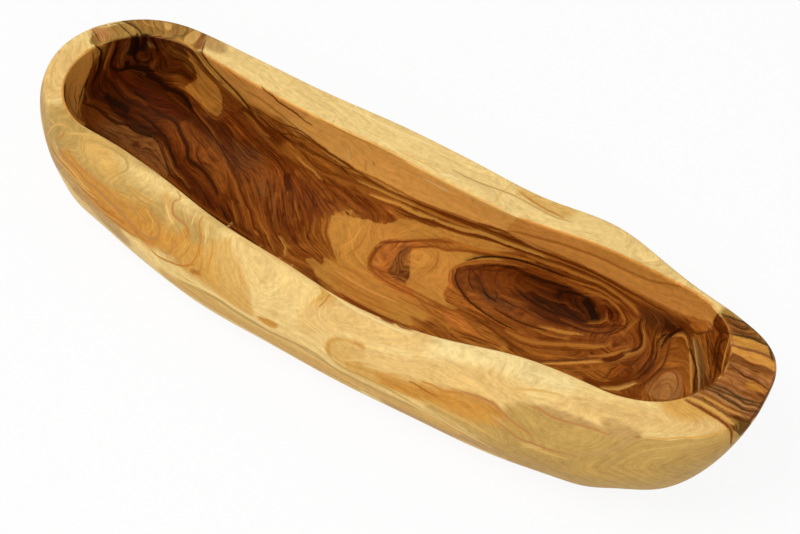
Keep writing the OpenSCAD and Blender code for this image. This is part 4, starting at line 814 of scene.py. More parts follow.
# Broad soft stains: tone, width in mm, softness in mm, then places
STAINS = [
    ("sand", 13, 5, [(-183, 16), (-183, 4), (-181, -8), (-175, -18), (-166, -25)]),
    ("brown", 22, 8, [(-172, 26), (-166, 18), (-168, 4)]),
    ("dun", 30, 8, [(-158, 30), (-152, 26), (-146, 36)]),
    ("russet", 16, 6, [(-148, 30), (-136, 28)]),
    ("brown", 30, 8, [(-160, 4), (-140, 2), (-120, -4), (-100, -12)]),
    ("brown", 12, 5, [(-166, 6), (-160, 8)]),
    ("brown", 20, 6, [(-168, -6), (-150, -4), (-135, -6)]),
    ("leather", 14, 5, [(-162, -20), (-150, -21)]),
    ("drab", 15, 5, [(-145, -23), (-125, -22), (-110, -28)]),
    ("rust", 34, 10, [(-112, 4), (-90, -6), (-70, -18)]),
    ("dun", 26, 9, [(-100, 12), (-84, 4), (-66, -4)]),
    ("dun", 18, 6, [(-92, 0), (-80, -2)]),
    ("amber", 8, 3, [(-136, 22), (-124, 21), (-114, 17)]),
    ("rust", 9, 3, [(-147, 31), (-138, 29), (-132, 26.5)]),
    ("tan", 7, 4, [(-150, 36), (-142, 35), (-136, 32)]),
    ("umber", 14, 6, [(-150, 14), (-135, 11), (-122, 8)]),
    ("rust", 12, 6, [(-106, 22), (-98, 16), (-88, 12)]),
    ("leather", 12, 6, [(-98, -10), (-88, -14), (-80, -20)]),
    ("russet", 14, 6, [(-98, -22), (-85, -28), (-72, -34)]),
    ("sand", 14, 6, [(-130, 41), (-110, 34), (-90, 31)]),
    ("peach", 14, 6, [(-95, 37), (-70, 33), (-45, 32), (-15, 31), (15, 32), (40, 33)]),
    ("rust", 26, 8, [(-58, 2), (-40, -12), (-34, -26)]),
    ("leather", 22, 8, [(-64, -12), (-50, -28), (-34, -36)]),
    ("amber", 9, 5, [(-64, 15), (-45, 15), (-25, 13), (-5, 14)]),
    ("leather", 7, 4, [(-50, 6), (-35, 4), (-20, 5), (0, 6)]),
    ("amber", 16, 6, [(-24, -18), (-20, -30), (-24, -38)]),
    ("honey", 24, 6, [(-12, -12), (2, -20), (4, -34)]),
    ("ochre", 30, 8, [(10, -2), (30, -8), (30, -26), (14, -36)]),
    ("tan", 20, 6, [(10, 12), (30, 12), (44, 14)]),
    ("honey", 12, 6, [(32, -38), (44, -34), (40, -26)]),
    ("amber", 4, 2, [(-27, -20), (-18, -24), (-9, -29.3)]),
    ("copper", 6, 3, [(-26, -36), (-20, -34.5), (-13, -34)]),
    ("leather", 4, 4, [(-4, 5), (3, 5.5)]),
    ("tan", 6, 4, [(19, -8), (22, -14), (26, -21)]),
    ("amber", 2.6, 2, [(7.4, -7), (6, -11), (5.2, -15), (5, -18), (6, -21), (7.5, -23), (10, -25)]),
    ("tan", 2.6, 3, [(3.5, -8), (2.2, -12), (1.8, -17), (3.2, -21), (6, -24.5)]),
    ("glow", 8, 6, [(22, -6), (32, -9)]),
    ("leather", 24, 6, [(58, 0), (72, -14), (92, -14), (112, -8), (124, 4)]),
    ("copper", 14, 6, [(60, 20), (82, 22), (104, 24), (126, 24)]),
    ("copper", 16, 5, [(56, -8), (70, -14), (90, -12)]),
    ("amber", 12, 6, [(56, -22), (70, -24), (84, -25), (100, -24)]),
    ("tan", 10, 5, [(54, -33), (66, -31), (80, -29)]),
    ("honey", 3.5, 2.5, [(60, -29), (68, -29.5), (78, -29.8), (86, -29)]),
    ("sand", 4, 3, [(66, -31.6), (76, -31), (84, -29.8)]),
    ("brown", 20, 6, [(78, 9), (92, 8), (106, 10)]),
    ("leather", 10, 5, [(66, 0), (74, 6)]),
    ("russet", 10, 6, [(70, 11), (84, 14)]),
    ("umber", 9, 5, [(88, 9), (98, 8)]),
    ("dark", 4.5, 2, [(103, 15), (108.5, 12.5), (113.5, 8)]),
    ("brown", 5, 4, [(116, 12), (118, 8)]),
    ("russet", 6, 5, [(112, 19), (120, 14)]),
    ("honey", 7, 5, [(50, 18), (64, 20)]),
    ("copper", 12, 5, [(114, -17), (126, -13), (134, -4)]),
    ("leather", 12, 5, [(136, 12), (142, 0), (138, -14)]),
    ("amber", 12, 5, [(122, -20), (132, -16)]),
    ("dun", 10, 5, [(132, 24), (142, 22), (150, 25)]),
    ("amber", 10, 4, [(100, -22), (108, -19)]),
    ("apricot", 13, 5, [(62, 38), (90, 40), (120, 40), (145, 39), (156, 36)]),
    ("apricot", 9, 5, [(60, 34), (90, 36), (120, 36), (148, 35)]),
    ("sand", 5, 4, [(92, 43.5), (112, 43.5), (132, 44)]),
    ("ochre", 6, 4, [(150, 33), (157, 32)]),
    ("tan", 6, 3, [(148, 17), (153, 15)]),
    ("copper", 12, 4, [(152, 12), (156, 4), (156, -8)]),
    ("honey", 8, 3, [(159, -2), (161, -8), (160, -12)]),
    ("copper", 7, 3, [(148, -8), (148, -18), (145, -21)]),
    ("drab", 7, 3, [(161, 19), (164, 14), (168, 9)]),
    ("leather", 7, 4, [(162, 37), (166, 34)]),
    ("copper", 5, 3, [(168, 27), (172, 18), (175, 8)]),
    ("olive", 6, 3, [(163, 44), (172, 42), (184, 40.6)]),
    ("honey", 4, 2, [(172, 33.3), (180, 34.8), (190, 37)]),
    ("sand", 3.6, 2, [(175, 27.8), (185, 28.6), (196, 29.6)]),
    ("tan", 6, 2.5, [(177, 22.6), (186, 22.6), (199, 22.4)]),
    ("wheat", 2, 1.5, [(177.5, 20.5), (183, 21.4), (188, 21)]),
    ("amber", 9, 3, [(179, 14), (190, 13.5), (199, 14)]),
    ("honey", 3, 3, [(192, 14.2), (195, 13.8)]),
    ("drab", 6, 2.5, [(178, 7), (190, 7), (200, 8)]),
    ("drab", 7, 2, [(174, 1.5), (188, 1.5), (201, 3)]),
    ("tan", 2, 1.5, [(176, -2.9), (184, -3.3), (192, -3.6)]),
    ("grey", 6, 4, [(198, -5), (198, -10)]),
    ("sand", 2.4, 1.5, [(170.6, -7.2), (180, -7.4), (192, -7.9)]),
    ("clay", 9, 5, [(-178, 42), (-168, 46), (-158, 49)]),
    ("clay", 8, 5, [(-190, 26), (-184, 28)]),
    ("clay", 6, 5, [(-158, 46), (-142, 48), (-134, 50)]),
    ("amber", 3, 3, [(-137, 53), (-136, 53.6)]),
    ("drab", 4, 3, [(-167, 41.5), (-164, 42)]),
    ("oat", 7, 5, [(46, 55), (58, 54.5), (70, 55)]),
    ("pale", 5, 5, [(-20, 46), (10, 46), (30, 50)]),
    ("reed", 24, 12, [(-170, -34), (-150, -44), (-120, -52), (-90, -56), (-66, -58)]),
    ("oat", 12, 6, [(-146, -38), (-134, -40), (-128, -42)]),
    ("sand", 12, 6, [(-150, -51), (-130, -58), (-105, -62), (-85, -64), (-62, -66)]),
    ("honey", 8, 5, [(-135, -62), (-110, -66), (-88, -68)]),
    ("oat", 4, 3, [(-98, -41), (-94, -45), (-90, -49), (-86, -53)]),
    ("sand", 6, 4, [(-101, -55), (-96, -61), (-93, -65)]),
    ("sand", 4, 3, [(-76, -54.5), (-75, -57)]),
    ("straw", 14, 5, [(-66, -66), (-50, -68), (-36, -72)]),
    ("oat", 12, 5, [(-58, -54), (-46, -62), (-36, -68)]),
    ("oat", 6, 3, [(-44, -62), (-36, -66), (-30, -72), (-24, -76)]),
    ("sap", 30, 8, [(-40, -49), (-24, -58), (-8, -64)]),
    ("pale", 16, 6, [(-20, -66), (-8, -70), (8, -68)]),
    ("honey", 2.2, 1.5, [(-60, -72), (-57, -70.5)]),
    ("sand", 2.6, 1, [(-17, -76.6), (-13, -76.4), (-10, -76.6)]),
    ("bark", 3, 2.5, [(-16, -70), (-14, -70)]),
    ("straw", 11, 6, [(1, -50), (4, -55), (5, -60)]),
    ("cream", 14, 8, [(10, -64), (28, -60), (48, -52), (66, -46)]),
    ("sap", 14, 8, [(30, -70), (50, -66), (70, -58), (84, -52)]),
    ("sand", 7, 3, [(32, -76), (48, -75), (66, -72), (80, -68)]),
    ("honey", 8, 5, [(70, -68), (80, -66), (90, -63)]),
    ("honey", 4, 3, [(98, -60), (108, -62), (118, -64)]),
    ("reed", 6, 4, [(100, -52), (112, -56), (128, -58)]),
    ("pale", 16, 6, [(80, -38), (100, -36), (125, -29), (150, -26)]),
    ("sap", 12, 6, [(120, -38), (138, -36), (156, -34)]),
    ("reed", 12, 6, [(112, -56), (128, -58), (144, -54)]),
    ("stain", 12, 6, [(60, -84), (90, -82), (120, -78), (150, -70)]),
    ("oat", 9, 5, [(-70, -80), (-40, -83), (0, -85), (40, -85)]),
    ("olive", 2.4, 1.5, [(162.4, -38.2), (162, -38.5)]),
    ("straw", 14, 6, [(168, -14), (180, -16), (190, -14)]),
    ("clay", 5, 4, [(183, -18), (185, -21)]),
    ("copper", 10, 6, [(66, -12), (90, -12)]),
    ("amber", 10, 6, [(90, -22), (104, -24)]),
    ("copper", 12, 6, [(60, 20), (90, 22), (114, 24), (126, 20)]),
    ("copper", 10, 5, [(126, 2), (131, 8)]),
    ("amber", 10, 5, [(116, -18), (126, -22)]),
    ("leather", 10, 5, [(136, 12), (142, 0), (138, -14)]),
    ("dun", 10, 5, [(132, 24), (142, 25), (150, 25)]),
    ("honey", 7, 4, [(44, -29), (56, -30)]),
    ("tan", 10, 5, [(54, -34), (66, -33), (80, -31)]),
    ("clay", 8, 6, [(-165, 49), (-140, 52)]),
    ("reed", 14, 8, [(-190, -20), (-176, -36), (-165, -46)]),
    ("stain", 10, 6, [(-160, -52), (-140, -60), (-120, -67), (-100, -73)]),
    ("oat", 8, 5, [(-60, -80), (-20, -83), (40, -83), (90, -80)]),
    ("sap", 10, 6, [(150, -30), (175, -24), (190, -16)]),
    ("cream", 12, 6, [(60, -44), (90, -36), (120, -32)]),
    ("sap", 14, 8, [(10, -56), (30, -56), (50, -48)]),
    ("sap", 12, 8, [(2, -66), (14, -64)]),
    ("sap", 12, 8, [(50, -66), (70, -58), (90, -48)]),
    ("sap", 12, 8, [(84, -54), (104, -50)]),
    ("bark", 12, 6, [(150, -68), (175, -52)]),
    ("stain", 10, 6, [(186, -36), (194, -24)]),
    ("stain", 5, 5, [(199.4, -16), (197, -28), (191.6, -41), (183, -53)]),
    ("stain", 8, 5, [(148, -42), (156, -42), (160, -41)]),
    ("stain", 8, 4, [(-139, 50), (-131, 50)]),
    ("dun", 5, 4, [(56, -1), (58, -4.5), (61, -7), (65, -8.6), (70, -8.8), (75, -8)]),
    ("sand", 2.6, 2.6, [(31, -64.4), (25, -64.8), (20, -66.4), (17.4, -69.4), (18, -73), (21, -76)]),
    ("sap", 10, 5, [(-190, 10), (-192, -4), (-184, -20)]),
]

line_of_sight = BVHTree.FromBMesh(body)
veins_and_painted_light = [(tone, width, run) for tone, width, points in VEINS_AND_PAINTED_LIGHT for run in laid(line_of_sight, points)]
stains = [(tone, width, soft, laid(line_of_sight, points, STAIN_STEP_MM))
          for tone, width, soft, points in STAINS]


def tangents(places):
    """Unit directions along a run."""
    t = np.gradient(places, axis=0)
    return t / np.maximum(np.linalg.norm(t, axis=1), 1e-9)[:, None]


def surveyed(cut):
    """The places and normals of the wood's points, and a tree that finds the near ones."""
    cut.verts.ensure_lookup_table()
    cut.verts.index_update()
    tree = KDTree(len(cut.verts))
    for i, v in enumerate(cut.verts):
        tree.insert(v.co, i)
    tree.balance()
    return np.array([v.co for v in cut.verts]), np.array([v.normal for v in cut.verts]), tree


# The fibres lie along the bowl, and near a vein they lean its way
GRAIN_REACH, GRAIN_FALL, GRAIN_EVERY = 13.0, 5.0, 4
GRAIN_ALONG = (0.12, 0, 0)
GRAIN_ROUNDS, GRAIN_CLOSE = 900, 1e-7


def grain_height(cut):
    """A height over the wood that stays level along the fibres, so that noise can be drawn out
    along them. Its slope from point to point is set across the fibres, and the heights that
    fit all slopes best are found by conjugate gradients."""
    spot, face, tree = surveyed(cut)
    lean = np.tile(GRAIN_ALONG, (len(spot), 1))
    for _, _, (places, normals) in veins_and_painted_light:
        ways = tangents(places)
        for k in range(0, len(places), GRAIN_EVERY):
            for _, i, gap in tree.find_range(Vector(places[k]), GRAIN_REACH):
                if face[i] @ normals[k] > 0.3:
                    lean[i] += ways[k] * math.exp(-(gap / GRAIN_FALL) ** 2)
    across = np.cross(face, lean / np.linalg.norm(lean, axis=1)[:, None])
    size = np.linalg.norm(across, axis=1)[:, None]
    across = across / np.maximum(size, 0.35)
    a, b = np.array([[v.index for v in e.verts] for e in cut.edges]).T
    want = ((across[a] + across[b]) / 2 * (spot[b] - spot[a])).sum(1)
    count = len(spot)
    push = np.bincount(b, want, count) - np.bincount(a, want, count)
    degree = np.bincount(a, minlength=count) + np.bincount(b, minlength=count)

    def spread(h):
        step = h[b] - h[a]
        return np.bincount(b, step, count) - np.bincount(a, step, count) + 1e-5 * h

    height = spot[:, 1].copy()
    left = push - spread(height)
    lift = left / degree
    way, size = lift.copy(), left @ lift
    for _ in range(GRAIN_ROUNDS):
        moved = spread(way)
        share = size / (way @ moved)
        height += share * way
        left -= share * moved
        lift = left / degree
        size, before = left @ lift, size
        if size < GRAIN_CLOSE:
            break
        way = lift + size / before * way
    return height


grain = body.verts.layers.float.new("grain")
for v, h in zip(body.verts, grain_height(body)):
    v[grain] = h
body = rounded(body, "block")

# The planed foot goes back in, cut into strips across the bowl.
foot_edge = [e for e in body.edges if e.is_boundary]
bmesh.ops.holes_fill(body, edges=foot_edge, sides=0)
ON_TABLE_MM = 0.01
STRIP_FROM, STRIP_TO, STRIP_MM = -190, 200, 10
for x in range(STRIP_FROM, STRIP_TO, STRIP_MM):
    parts = [f for f in body.faces if abs(f.normal.z + 1) < 1e-3 and f.calc_center_median().z < ON_TABLE_MM]
    around = {g for f in parts for g in (*f.verts, *f.edges, f)}
    bmesh.ops.bisect_plane(body, geom=list(around), plane_co=(x, 0, 0), plane_no=(1, 0, 0))
bmesh.ops.recalc_face_normals(body, faces=body.faces)


def above_foot(e):
    """True for an edge that isn't in the planed underside."""
    return not (e.verts[0].co.z < ON_TABLE_MM and e.verts[1].co.z < ON_TABLE_MM)


def figured(e):
    """True for an edge of the trough, the rim or the front."""
    a, b = e.verts
    return above_foot(e) and (a.normal + b.normal).normalized().dot(EYE_BACK) > -0.2


def cut_finer(cut, wanted, limit):
    """Halves the wanted edges that are longer than the limit, up to three times."""
    for _ in range(3):
        long = [e for e in cut.edges if e.calc_length() > limit and wanted(e)]
        if not long:
            break
        bmesh.ops.subdivide_edges(cut, edges=long, cuts=1, use_grid_fill=True)


cut_finer(body, figured, FINE_MM)
cut_finer(body, above_foot, FINE_BACK_MM)

spot, face, tree = surveyed(body)
SKIP_MM = 2.4
SAME_WAY = 0.1


def near(places, reach):
    """The wood's points within reach of a run."""
    found = set()
    step = max(1, int(reach / SKIP_MM))
    for p in list(places[::step]) + [places[-1]]:
        found.update(i for _, i, _ in tree.find_range(Vector(p), reach + STEP_MM / 2 * step))
    return np.array(sorted(found))


def measured(places, normals, reach):
    """For the points near a run: which they are, how far aside, and how far past its ends."""
    at = near(places, reach)
    if not len(at):
        return None
    ways = tangents(places)
    away = spot[at][:, None] - places[None]
    k = (away ** 2).sum(2).argmin(1)
    rel = spot[at] - places[k]
    way, up = ways[k], face[at]
    run = (rel * way).sum(1)
    past = np.where(((k == 0) & (run < 0)) | ((k == len(places) - 1) & (run > 0)), np.abs(run), 0)
    flat = rel - way * run[:, None]
    flat = flat - up * (flat * up).sum(1)[:, None]
    side = np.cross(up, way)
    aside = np.linalg.norm(flat, axis=1) * np.sign((flat * side).sum(1))
    facing = (up * normals[k]).sum(1)
    from_end = np.minimum(k, len(places) - 1 - k)
    return at, aside, past, facing, from_end


# Ground colour: pale sapwood outside, brown heartwood in the trough
MIDDLE_X, MIDDLE_Y = (-150, -110, -60, -20, 25, 65, 105, 145), (9, 6, 1, 0, -2, 1, 11, 13)
TROUGH_ENDS = (-145, 140)
LIP_Z, FLOOR_HIGH_Z, FLOOR_LOW_Z = 57.2, 45, 5
HEART_CHANGE_X, HEART_CHANGE_MM = -60, 60

middle = np.interp(spot[:, 0], MIDDLE_X, MIDDLE_Y)
inward = np.stack([np.clip(spot[:, 0], *TROUGH_ENDS), middle, spot[:, 2]], 1) - spot
toward = (inward * face).sum(1)
wall = (toward > 0) & (spot[:, 2] < LIP_Z)
level = (face[:, 2] > 0.5) & (spot[:, 2] < FLOOR_HIGH_Z) & (spot[:, 2] > FLOOR_LOW_Z) & (toward > -3)
trough = (wall | level).astype(float)
blend = np.clip((spot[:, 0] - HEART_CHANGE_X) / HEART_CHANGE_MM, 0, 1)[:, None]
heart = linear("russet") * (1 - blend) + linear("amber") * blend
wood = np.where(trough[:, None] > 0.5, heart, linear("pale"))


def ease(x):
    """Smooth step from 0 to 1."""
    x = np.clip(x, 0, 1)
    return x * x * (3 - 2 * x)


def wander(scale):
    """Slow noise over the wood, drawn out along the bowl."""
    return np.array([noise.noise(Vector((x * scale[0], y * scale[1], z * scale[1]))) for x, y, z in spot])


turned = face @ np.array(EYE_BACK)
END_X, END_MM, END_TURN = 70, 90, 0.5
# Painted shade: outside the trough, the right-hand end turns to the darker reed tone where it faces away
# from the eye, going on from the painted shade of the facet at the right-hand front.
painted_end_shade = ease((spot[:, 0] - END_X) / END_MM) * ease((END_TURN - turned) / END_TURN) * (trough < 0.5)
wood = wood + (linear("reed") - wood) * painted_end_shade[:, None]

drift = wander((0.03, 0.12)) + 0.5 * wander((0.09, 0.4))
STAIN, STAIN_DRIFT, GLAZE = 0.92, 0.45, 0.28
glaze, glazed = np.zeros((len(spot), 3)), np.zeros(len(spot))
for tone, width, soft, runs in stains:
    strength = np.zeros(len(spot))
    for places, normals in runs:
        got = measured(places, normals, width / 2 + soft)
        if got is None:
            continue
        at, aside, past, facing, _ = got
        gap = np.hypot(aside, past) + drift[at] * soft * STAIN_DRIFT
        amount = ease((width / 2 + soft / 2 - gap) / soft) * ease((facing - SAME_WAY) / 0.3)
        strength[at] = np.maximum(strength[at], amount)
    wood = wood + (linear(tone) - wood) * (STAIN * strength)[:, None]
    glaze = glaze + (linear(tone) - glaze) * np.where(glazed > 0, strength, 1.0)[:, None]
    glazed = np.maximum(glazed, GLAZE * strength)

# Patches and veins are sorted into sheets in which none comes near another, so
# that each sheet can carry the distance to the edges of its own. A distance is
# kept in units of the edge's softness; a patch is a band whose middle is far off.
PATCH_SHEETS, VEIN_SHEETS = 6, 9
SHEETS = PATCH_SHEETS + VEIN_SHEETS
FAR = 50.0
DECISIVE = 0.8
cuts = [np.zeros((len(spot), 3)) for _ in range(SHEETS)]
inks = [np.zeros((len(spot), 3)) for _ in range(SHEETS)]
taken = [np.zeros(len(spot), bool) for _ in range(SHEETS)]


def sheet_for(at, core, first, last):
    """The first sheet of those given whose wood is still free under the core, or None."""
    return next((k for k in range(first, last) if not taken[k][at[core]].any()), None)


def mostly(share):
    """True where a share of the wood under a figure is clearly trough or clearly not."""
    return share > DECISIVE or share < 1 - DECISIVE


# Where the line of sight to each point of the wood crosses the plane of the rim
sight = spot - np.array(EYE)
seen_at = (np.array(EYE) + sight * ((RIM_Z - EYE.z) / sight[:, 2])[:, None])[:, :2]
OPEN_TURN, FADE_TURN = 0.02, 0.2
CLEAR_MM = 3.0
open_to_view = turned > OPEN_TURN
fading = 4 - 8 * ease((turned - OPEN_TURN) / FADE_TURN)


def clear(k):
    """True where nothing stands between the eye and a point of the wood."""
    hit = line_of_sight.ray_cast(EYE, Vector(sight[k]).normalized())[0]
    return hit is not None and (hit - Vector(spot[k])).length < CLEAR_MM


in_sight = np.array([bool(front) and clear(k) for k, front in enumerate(open_to_view)])

PATCH_STEP_MM, PATCH_REACH = 1.0, 2.5
PATCH_RAGGED, PATCH_EVEN = 1.0, 0.45
for tone, soft, outline in PATCHES:
    edge = spline(outline + outline[:1], PATCH_STEP_MM)
    reach = PATCH_REACH * soft + 2.0
    low, high = edge.min(0) - reach, edge.max(0) + reach
    at = np.nonzero(open_to_view & ((seen_at > low) & (seen_at < high)).all(1))[0]
    spots = seen_at[at]
    a, b = edge[:-1], edge[1:]
    gap = np.full(len(at), np.inf)
    odd = np.zeros(len(at), bool)
    for (ax, ay), (bx, by) in zip(a, b):
        dx, dy = bx - ax, by - ay
        t = np.clip(((spots[:, 0] - ax) * dx + (spots[:, 1] - ay) * dy) / max(dx * dx + dy * dy, 1e-9), 0, 1)
        gap = np.minimum(gap, np.hypot(spots[:, 0] - ax - t * dx, spots[:, 1] - ay - t * dy))
        if ay != by:
            odd ^= ((ay > spots[:, 1]) != (by > spots[:, 1])) & (
                spots[:, 0] < dx * (spots[:, 1] - ay) / dy + ax)
    gap = np.where(odd, -gap, gap)
    covered = at[odd & in_sight[at]]
    inside = trough[covered].mean() if len(covered) else 0.5
    other = ((trough[at] > 0.5) != (inside > 0.5)) & ~in_sight[at]
    keep = (gap < reach) & ~(other & mostly(inside))
    at, gap = at[keep], gap[keep]
    k = sheet_for(at, gap < reach, 0, PATCH_SHEETS)
    if k is None:
        continue
    ragged = np.where(trough[at] > 0.5, PATCH_RAGGED, PATCH_EVEN) / max(soft, 0.8)
    aside = np.maximum(gap / soft, fading[at]) + FAR
    cuts[k][at] = np.stack([aside, np.full(len(at), FAR), ragged], 1)
    inks[k][at] = linear(tone)
    taken[k][at] = True

VEIN_REACH, VEIN_REGION, VEIN_COVER, VEIN_CORE = 3.2, 3.0, 1.9, 1.8
BLUNT_END_MM, CORE_END_MM = 2.5, 1.2
TAPER_MM, BROAD_MM, UNDER_MM = 9.0, 2.5, 1.5
for tone, width, (places, normals) in veins_and_painted_light:
    got = measured(places, normals, width / 2 + VEIN_REACH)
    if got is None:
        continue
    at, aside, past, facing, from_end = got
    gap = np.abs(aside)
    region = (gap < width / 2 + VEIN_REGION) & (facing > SAME_WAY) & (past < BLUNT_END_MM)
    under = trough[at[region & (gap < UNDER_MM)]]
    inside = under.mean() if len(under) else 0.5
    if mostly(inside):
        region = region & ((trough[at] > 0.5) == (inside > 0.5))
    at, aside, past, from_end, gap = (part[region] for part in (at, aside, past, from_end, gap))
    core = (gap < width / 2 + VEIN_CORE) & (past < CORE_END_MM)
    k = sheet_for(at, core, PATCH_SHEETS, SHEETS)
    if k is None:
        continue
    free = ~taken[k][at] | core
    at, aside, past, from_end, gap, core = (part[free] for part in (at, aside, past, from_end, gap, core))
    taper = np.sqrt(np.clip((from_end * STEP_MM + 1.0) / TAPER_MM, 0, 1))
    soft = np.where(trough[at] > 0.5, 1.0, np.clip(0.25 + 0.6 * width, 0.55, 1.7))
    cuts[k][at, 0] = aside / soft
    cuts[k][at, 1] = width / 2 * np.where(width > BROAD_MM, 1, taper) / soft
    cover = ease((width / 2 + VEIN_COVER - gap) / 0.8) * (1 - ease(past / CORE_END_MM))
    cuts[k][at, 2] = cover * np.where(core, 1, 0)
    inks[k][at] = linear(tone)
    taken[k][at] = True

bmesh.ops.scale(body, vec=(MM,) * 3, verts=body.verts)
for f in body.faces:
    f.smooth = True
mesh = bpy.data.meshes.new("bowl_wood")
body.to_mesh(mesh)
body.free()
bowl = bpy.data.objects.new("bowl_wood", mesh)
bpy.context.scene.collection.objects.link(bowl)

FIELDS = {"FLOAT_COLOR": "color", "FLOAT_VECTOR": "vector", "FLOAT": "value"}


def kept(name, kind, values):
    """Stores one value for each point of the wood."""
    made = mesh.attributes.new(name, kind, "POINT")
    if kind == "FLOAT_COLOR":
        values = np.hstack([values, np.ones((len(values), 1))])
    made.data.foreach_set(FIELDS[kind], np.ascontiguousarray(values, dtype=np.float32).ravel())


kept("wood", "FLOAT_COLOR", wood)
kept("glaze", "FLOAT_COLOR", glaze)
kept("glazed", "FLOAT", glazed)
for k in range(SHEETS):
    kept(f"cut_{k}", "FLOAT_VECTOR", cuts[k])
    kept(f"ink_{k}", "FLOAT_COLOR", inks[k])

# The finish. Oiled and lightly polished: fibres and pores show, and the dark
# veins lie a hair's breadth lower than the soft wood between them.

olive_wood = bpy.data.materials.new("olive_wood")
olive_wood.use_nodes = True
nodes, links = olive_wood.node_tree.nodes, olive_wood.node_tree.links
nodes.clear()


def add(kind, inputs=(), **settings):
    """A node with its settings, and links or values for its inputs."""
    made = nodes.new(kind)
    for name, value in settings.items():
        setattr(made, name, value)
    for place, value in dict(inputs).items():
        if isinstance(value, bpy.types.NodeSocket):
            links.new(value, made.inputs[place])
        else:
            made.inputs[place].default_value = value
    return made


def sums(operation, a, b=0.0, c=0.0, clamp=False):
    """One sum on two or three values."""
    return add("ShaderNodeMath", {0: a, 1: b, 2: c}, operation=operation, use_clamp=clamp).outputs[0]


def mixed(share, a, b, how="MIX"):
    """Two colours mixed by a share."""
    made = add("ShaderNodeMix", {0: share, 6: a, 7: b}, data_type="RGBA", blend_type=how)
    return made.outputs[2]


def slope(value, low, high, to_low=0.0, to_high=1.0):
    """A value carried smoothly from one range to another."""
    return add("ShaderNodeMapRange", {"Value": value, "From Min": low, "From Max": high, "To Min": to_low,
                                      "To Max": to_high}, interpolation_type="SMOOTHSTEP").outputs[0]


place = add("ShaderNodeVectorMath", {0: add("ShaderNodeTexCoord").outputs["Object"], 1: (1 / MM,) * 3},
            operation="MULTIPLY").outputs[0]
split = add("ShaderNodeSeparateXYZ", {0: place}).outputs
height = add("ShaderNodeAttribute", attribute_name="grain").outputs["Fac"]


def fibre(across, along, detail, seed):
    """Noise drawn out along the grain: scale across it and along it, per millimetre."""
    low = sums("MULTIPLY", height, across)
    x = sums("MULTIPLY", split[0], along)
    side = sums("MULTIPLY", sums("ADD", split[1], split[2]), along)
    at = add("ShaderNodeCombineXYZ", {0: sums("ADD", low, seed), 1: x, 2: side}).outputs[0]
    return add("ShaderNodeTexNoise", {"Vector": at, "Scale": 1.0, "Detail": detail,
                                      "Roughness": 0.6}).outputs["Fac"]


fine = fibre(2.0, 0.08, 2.0, 3.0)
broad = fibre(0.5, 0.02, 2.0, 11.0)
rings = fibre(0.42, 0.012, 1.0, 23.0)
close_rings = fibre(0.95, 0.03, 1.0, 37.0)
grit = fibre(1.5, 0.3, 3.0, 51.0)


def cloud(scale, detail, rough=0.5):
    """Even noise: its scale is per millimetre."""
    return add("ShaderNodeTexNoise", {"Vector": place, "Scale": scale, "Detail": detail,
                                      "Roughness": rough}).outputs["Fac"]


speck = cloud(1.3, 2.0)
mottle = cloud(0.28, 3.0, 0.6)
patchy = cloud(0.06, 2.0)

ground = add("ShaderNodeAttribute", attribute_name="wood").outputs["Color"]
sway = sums("MULTIPLY_ADD", speck, 0.7, sums("MULTIPLY_ADD", mottle, 0.9, -0.8))


def drawn(colour, k, edge, dark_side=None, vigour=1.0, fray=None):
    """The colour with sheet k laid over it, and how much of the sheet covers it.

    A vein has a dark side that fades out; the edge of a patch is frayed instead.
    """
    edges = add("ShaderNodeAttribute", attribute_name=f"cut_{k}").outputs["Vector"]
    cut = add("ShaderNodeSeparateXYZ", {0: edges})
    ink = add("ShaderNodeAttribute", attribute_name=f"ink_{k}").outputs["Color"]
    cover = cut.outputs[2]
    aside = sums("ADD", cut.outputs[0], sway)
    if fray is not None:
        aside = sums("MULTIPLY_ADD", fray, cover, cut.outputs[0])
        cover = sums("GREATER_THAN", cover, 0.01)
    half = cut.outputs[1]
    mask = slope(sums("ABSOLUTE", aside), sums("ADD", half, edge), sums("SUBTRACT", half, 0.3))
    if dark_side is not None:
        fading = slope(aside, sums("ADD", half, 1.9), half)
        fading = sums("MULTIPLY", fading, sums("GREATER_THAN", aside, 0.0))
        mask = sums("MAXIMUM", mask, sums("MULTIPLY", fading, dark_side))
    mask = sums("MULTIPLY", sums("MULTIPLY", mask, cover), vigour)
    return mixed(mask, colour, ink), mask


short_fingers = sums("MULTIPLY", sums("SUBTRACT", fine, 0.5), 1.6)
fingers = sums("MULTIPLY_ADD", sums("SUBTRACT", broad, 0.5), 2.6, short_fingers)
frayed = sums("ADD", sway, fingers)
for k in range(PATCH_SHEETS):
    ground = drawn(ground, k, 0.5, vigour=0.94, fray=frayed)[0]
glaze = add("ShaderNodeAttribute", attribute_name="glaze").outputs["Color"]
ground = mixed(add("ShaderNodeAttribute", attribute_name="glazed").outputs["Fac"], ground, glaze)
value = add("ShaderNodeSeparateColor", {0: ground}).outputs[1]
heartwood = slope(value, 0.30, 0.10)


def tinted(colour, share, tint):
    """The colour multiplied by a tint, as far as the share says."""
    return mixed(share, colour, (*tint, 1), "MULTIPLY")


strength = sums("MULTIPLY_ADD", heartwood, 0.52, 0.17)
hairs = sums("MULTIPLY_ADD", heartwood, 0.85, 0.06)
coarse = sums("MULTIPLY_ADD", heartwood, 0.25, 0.22)
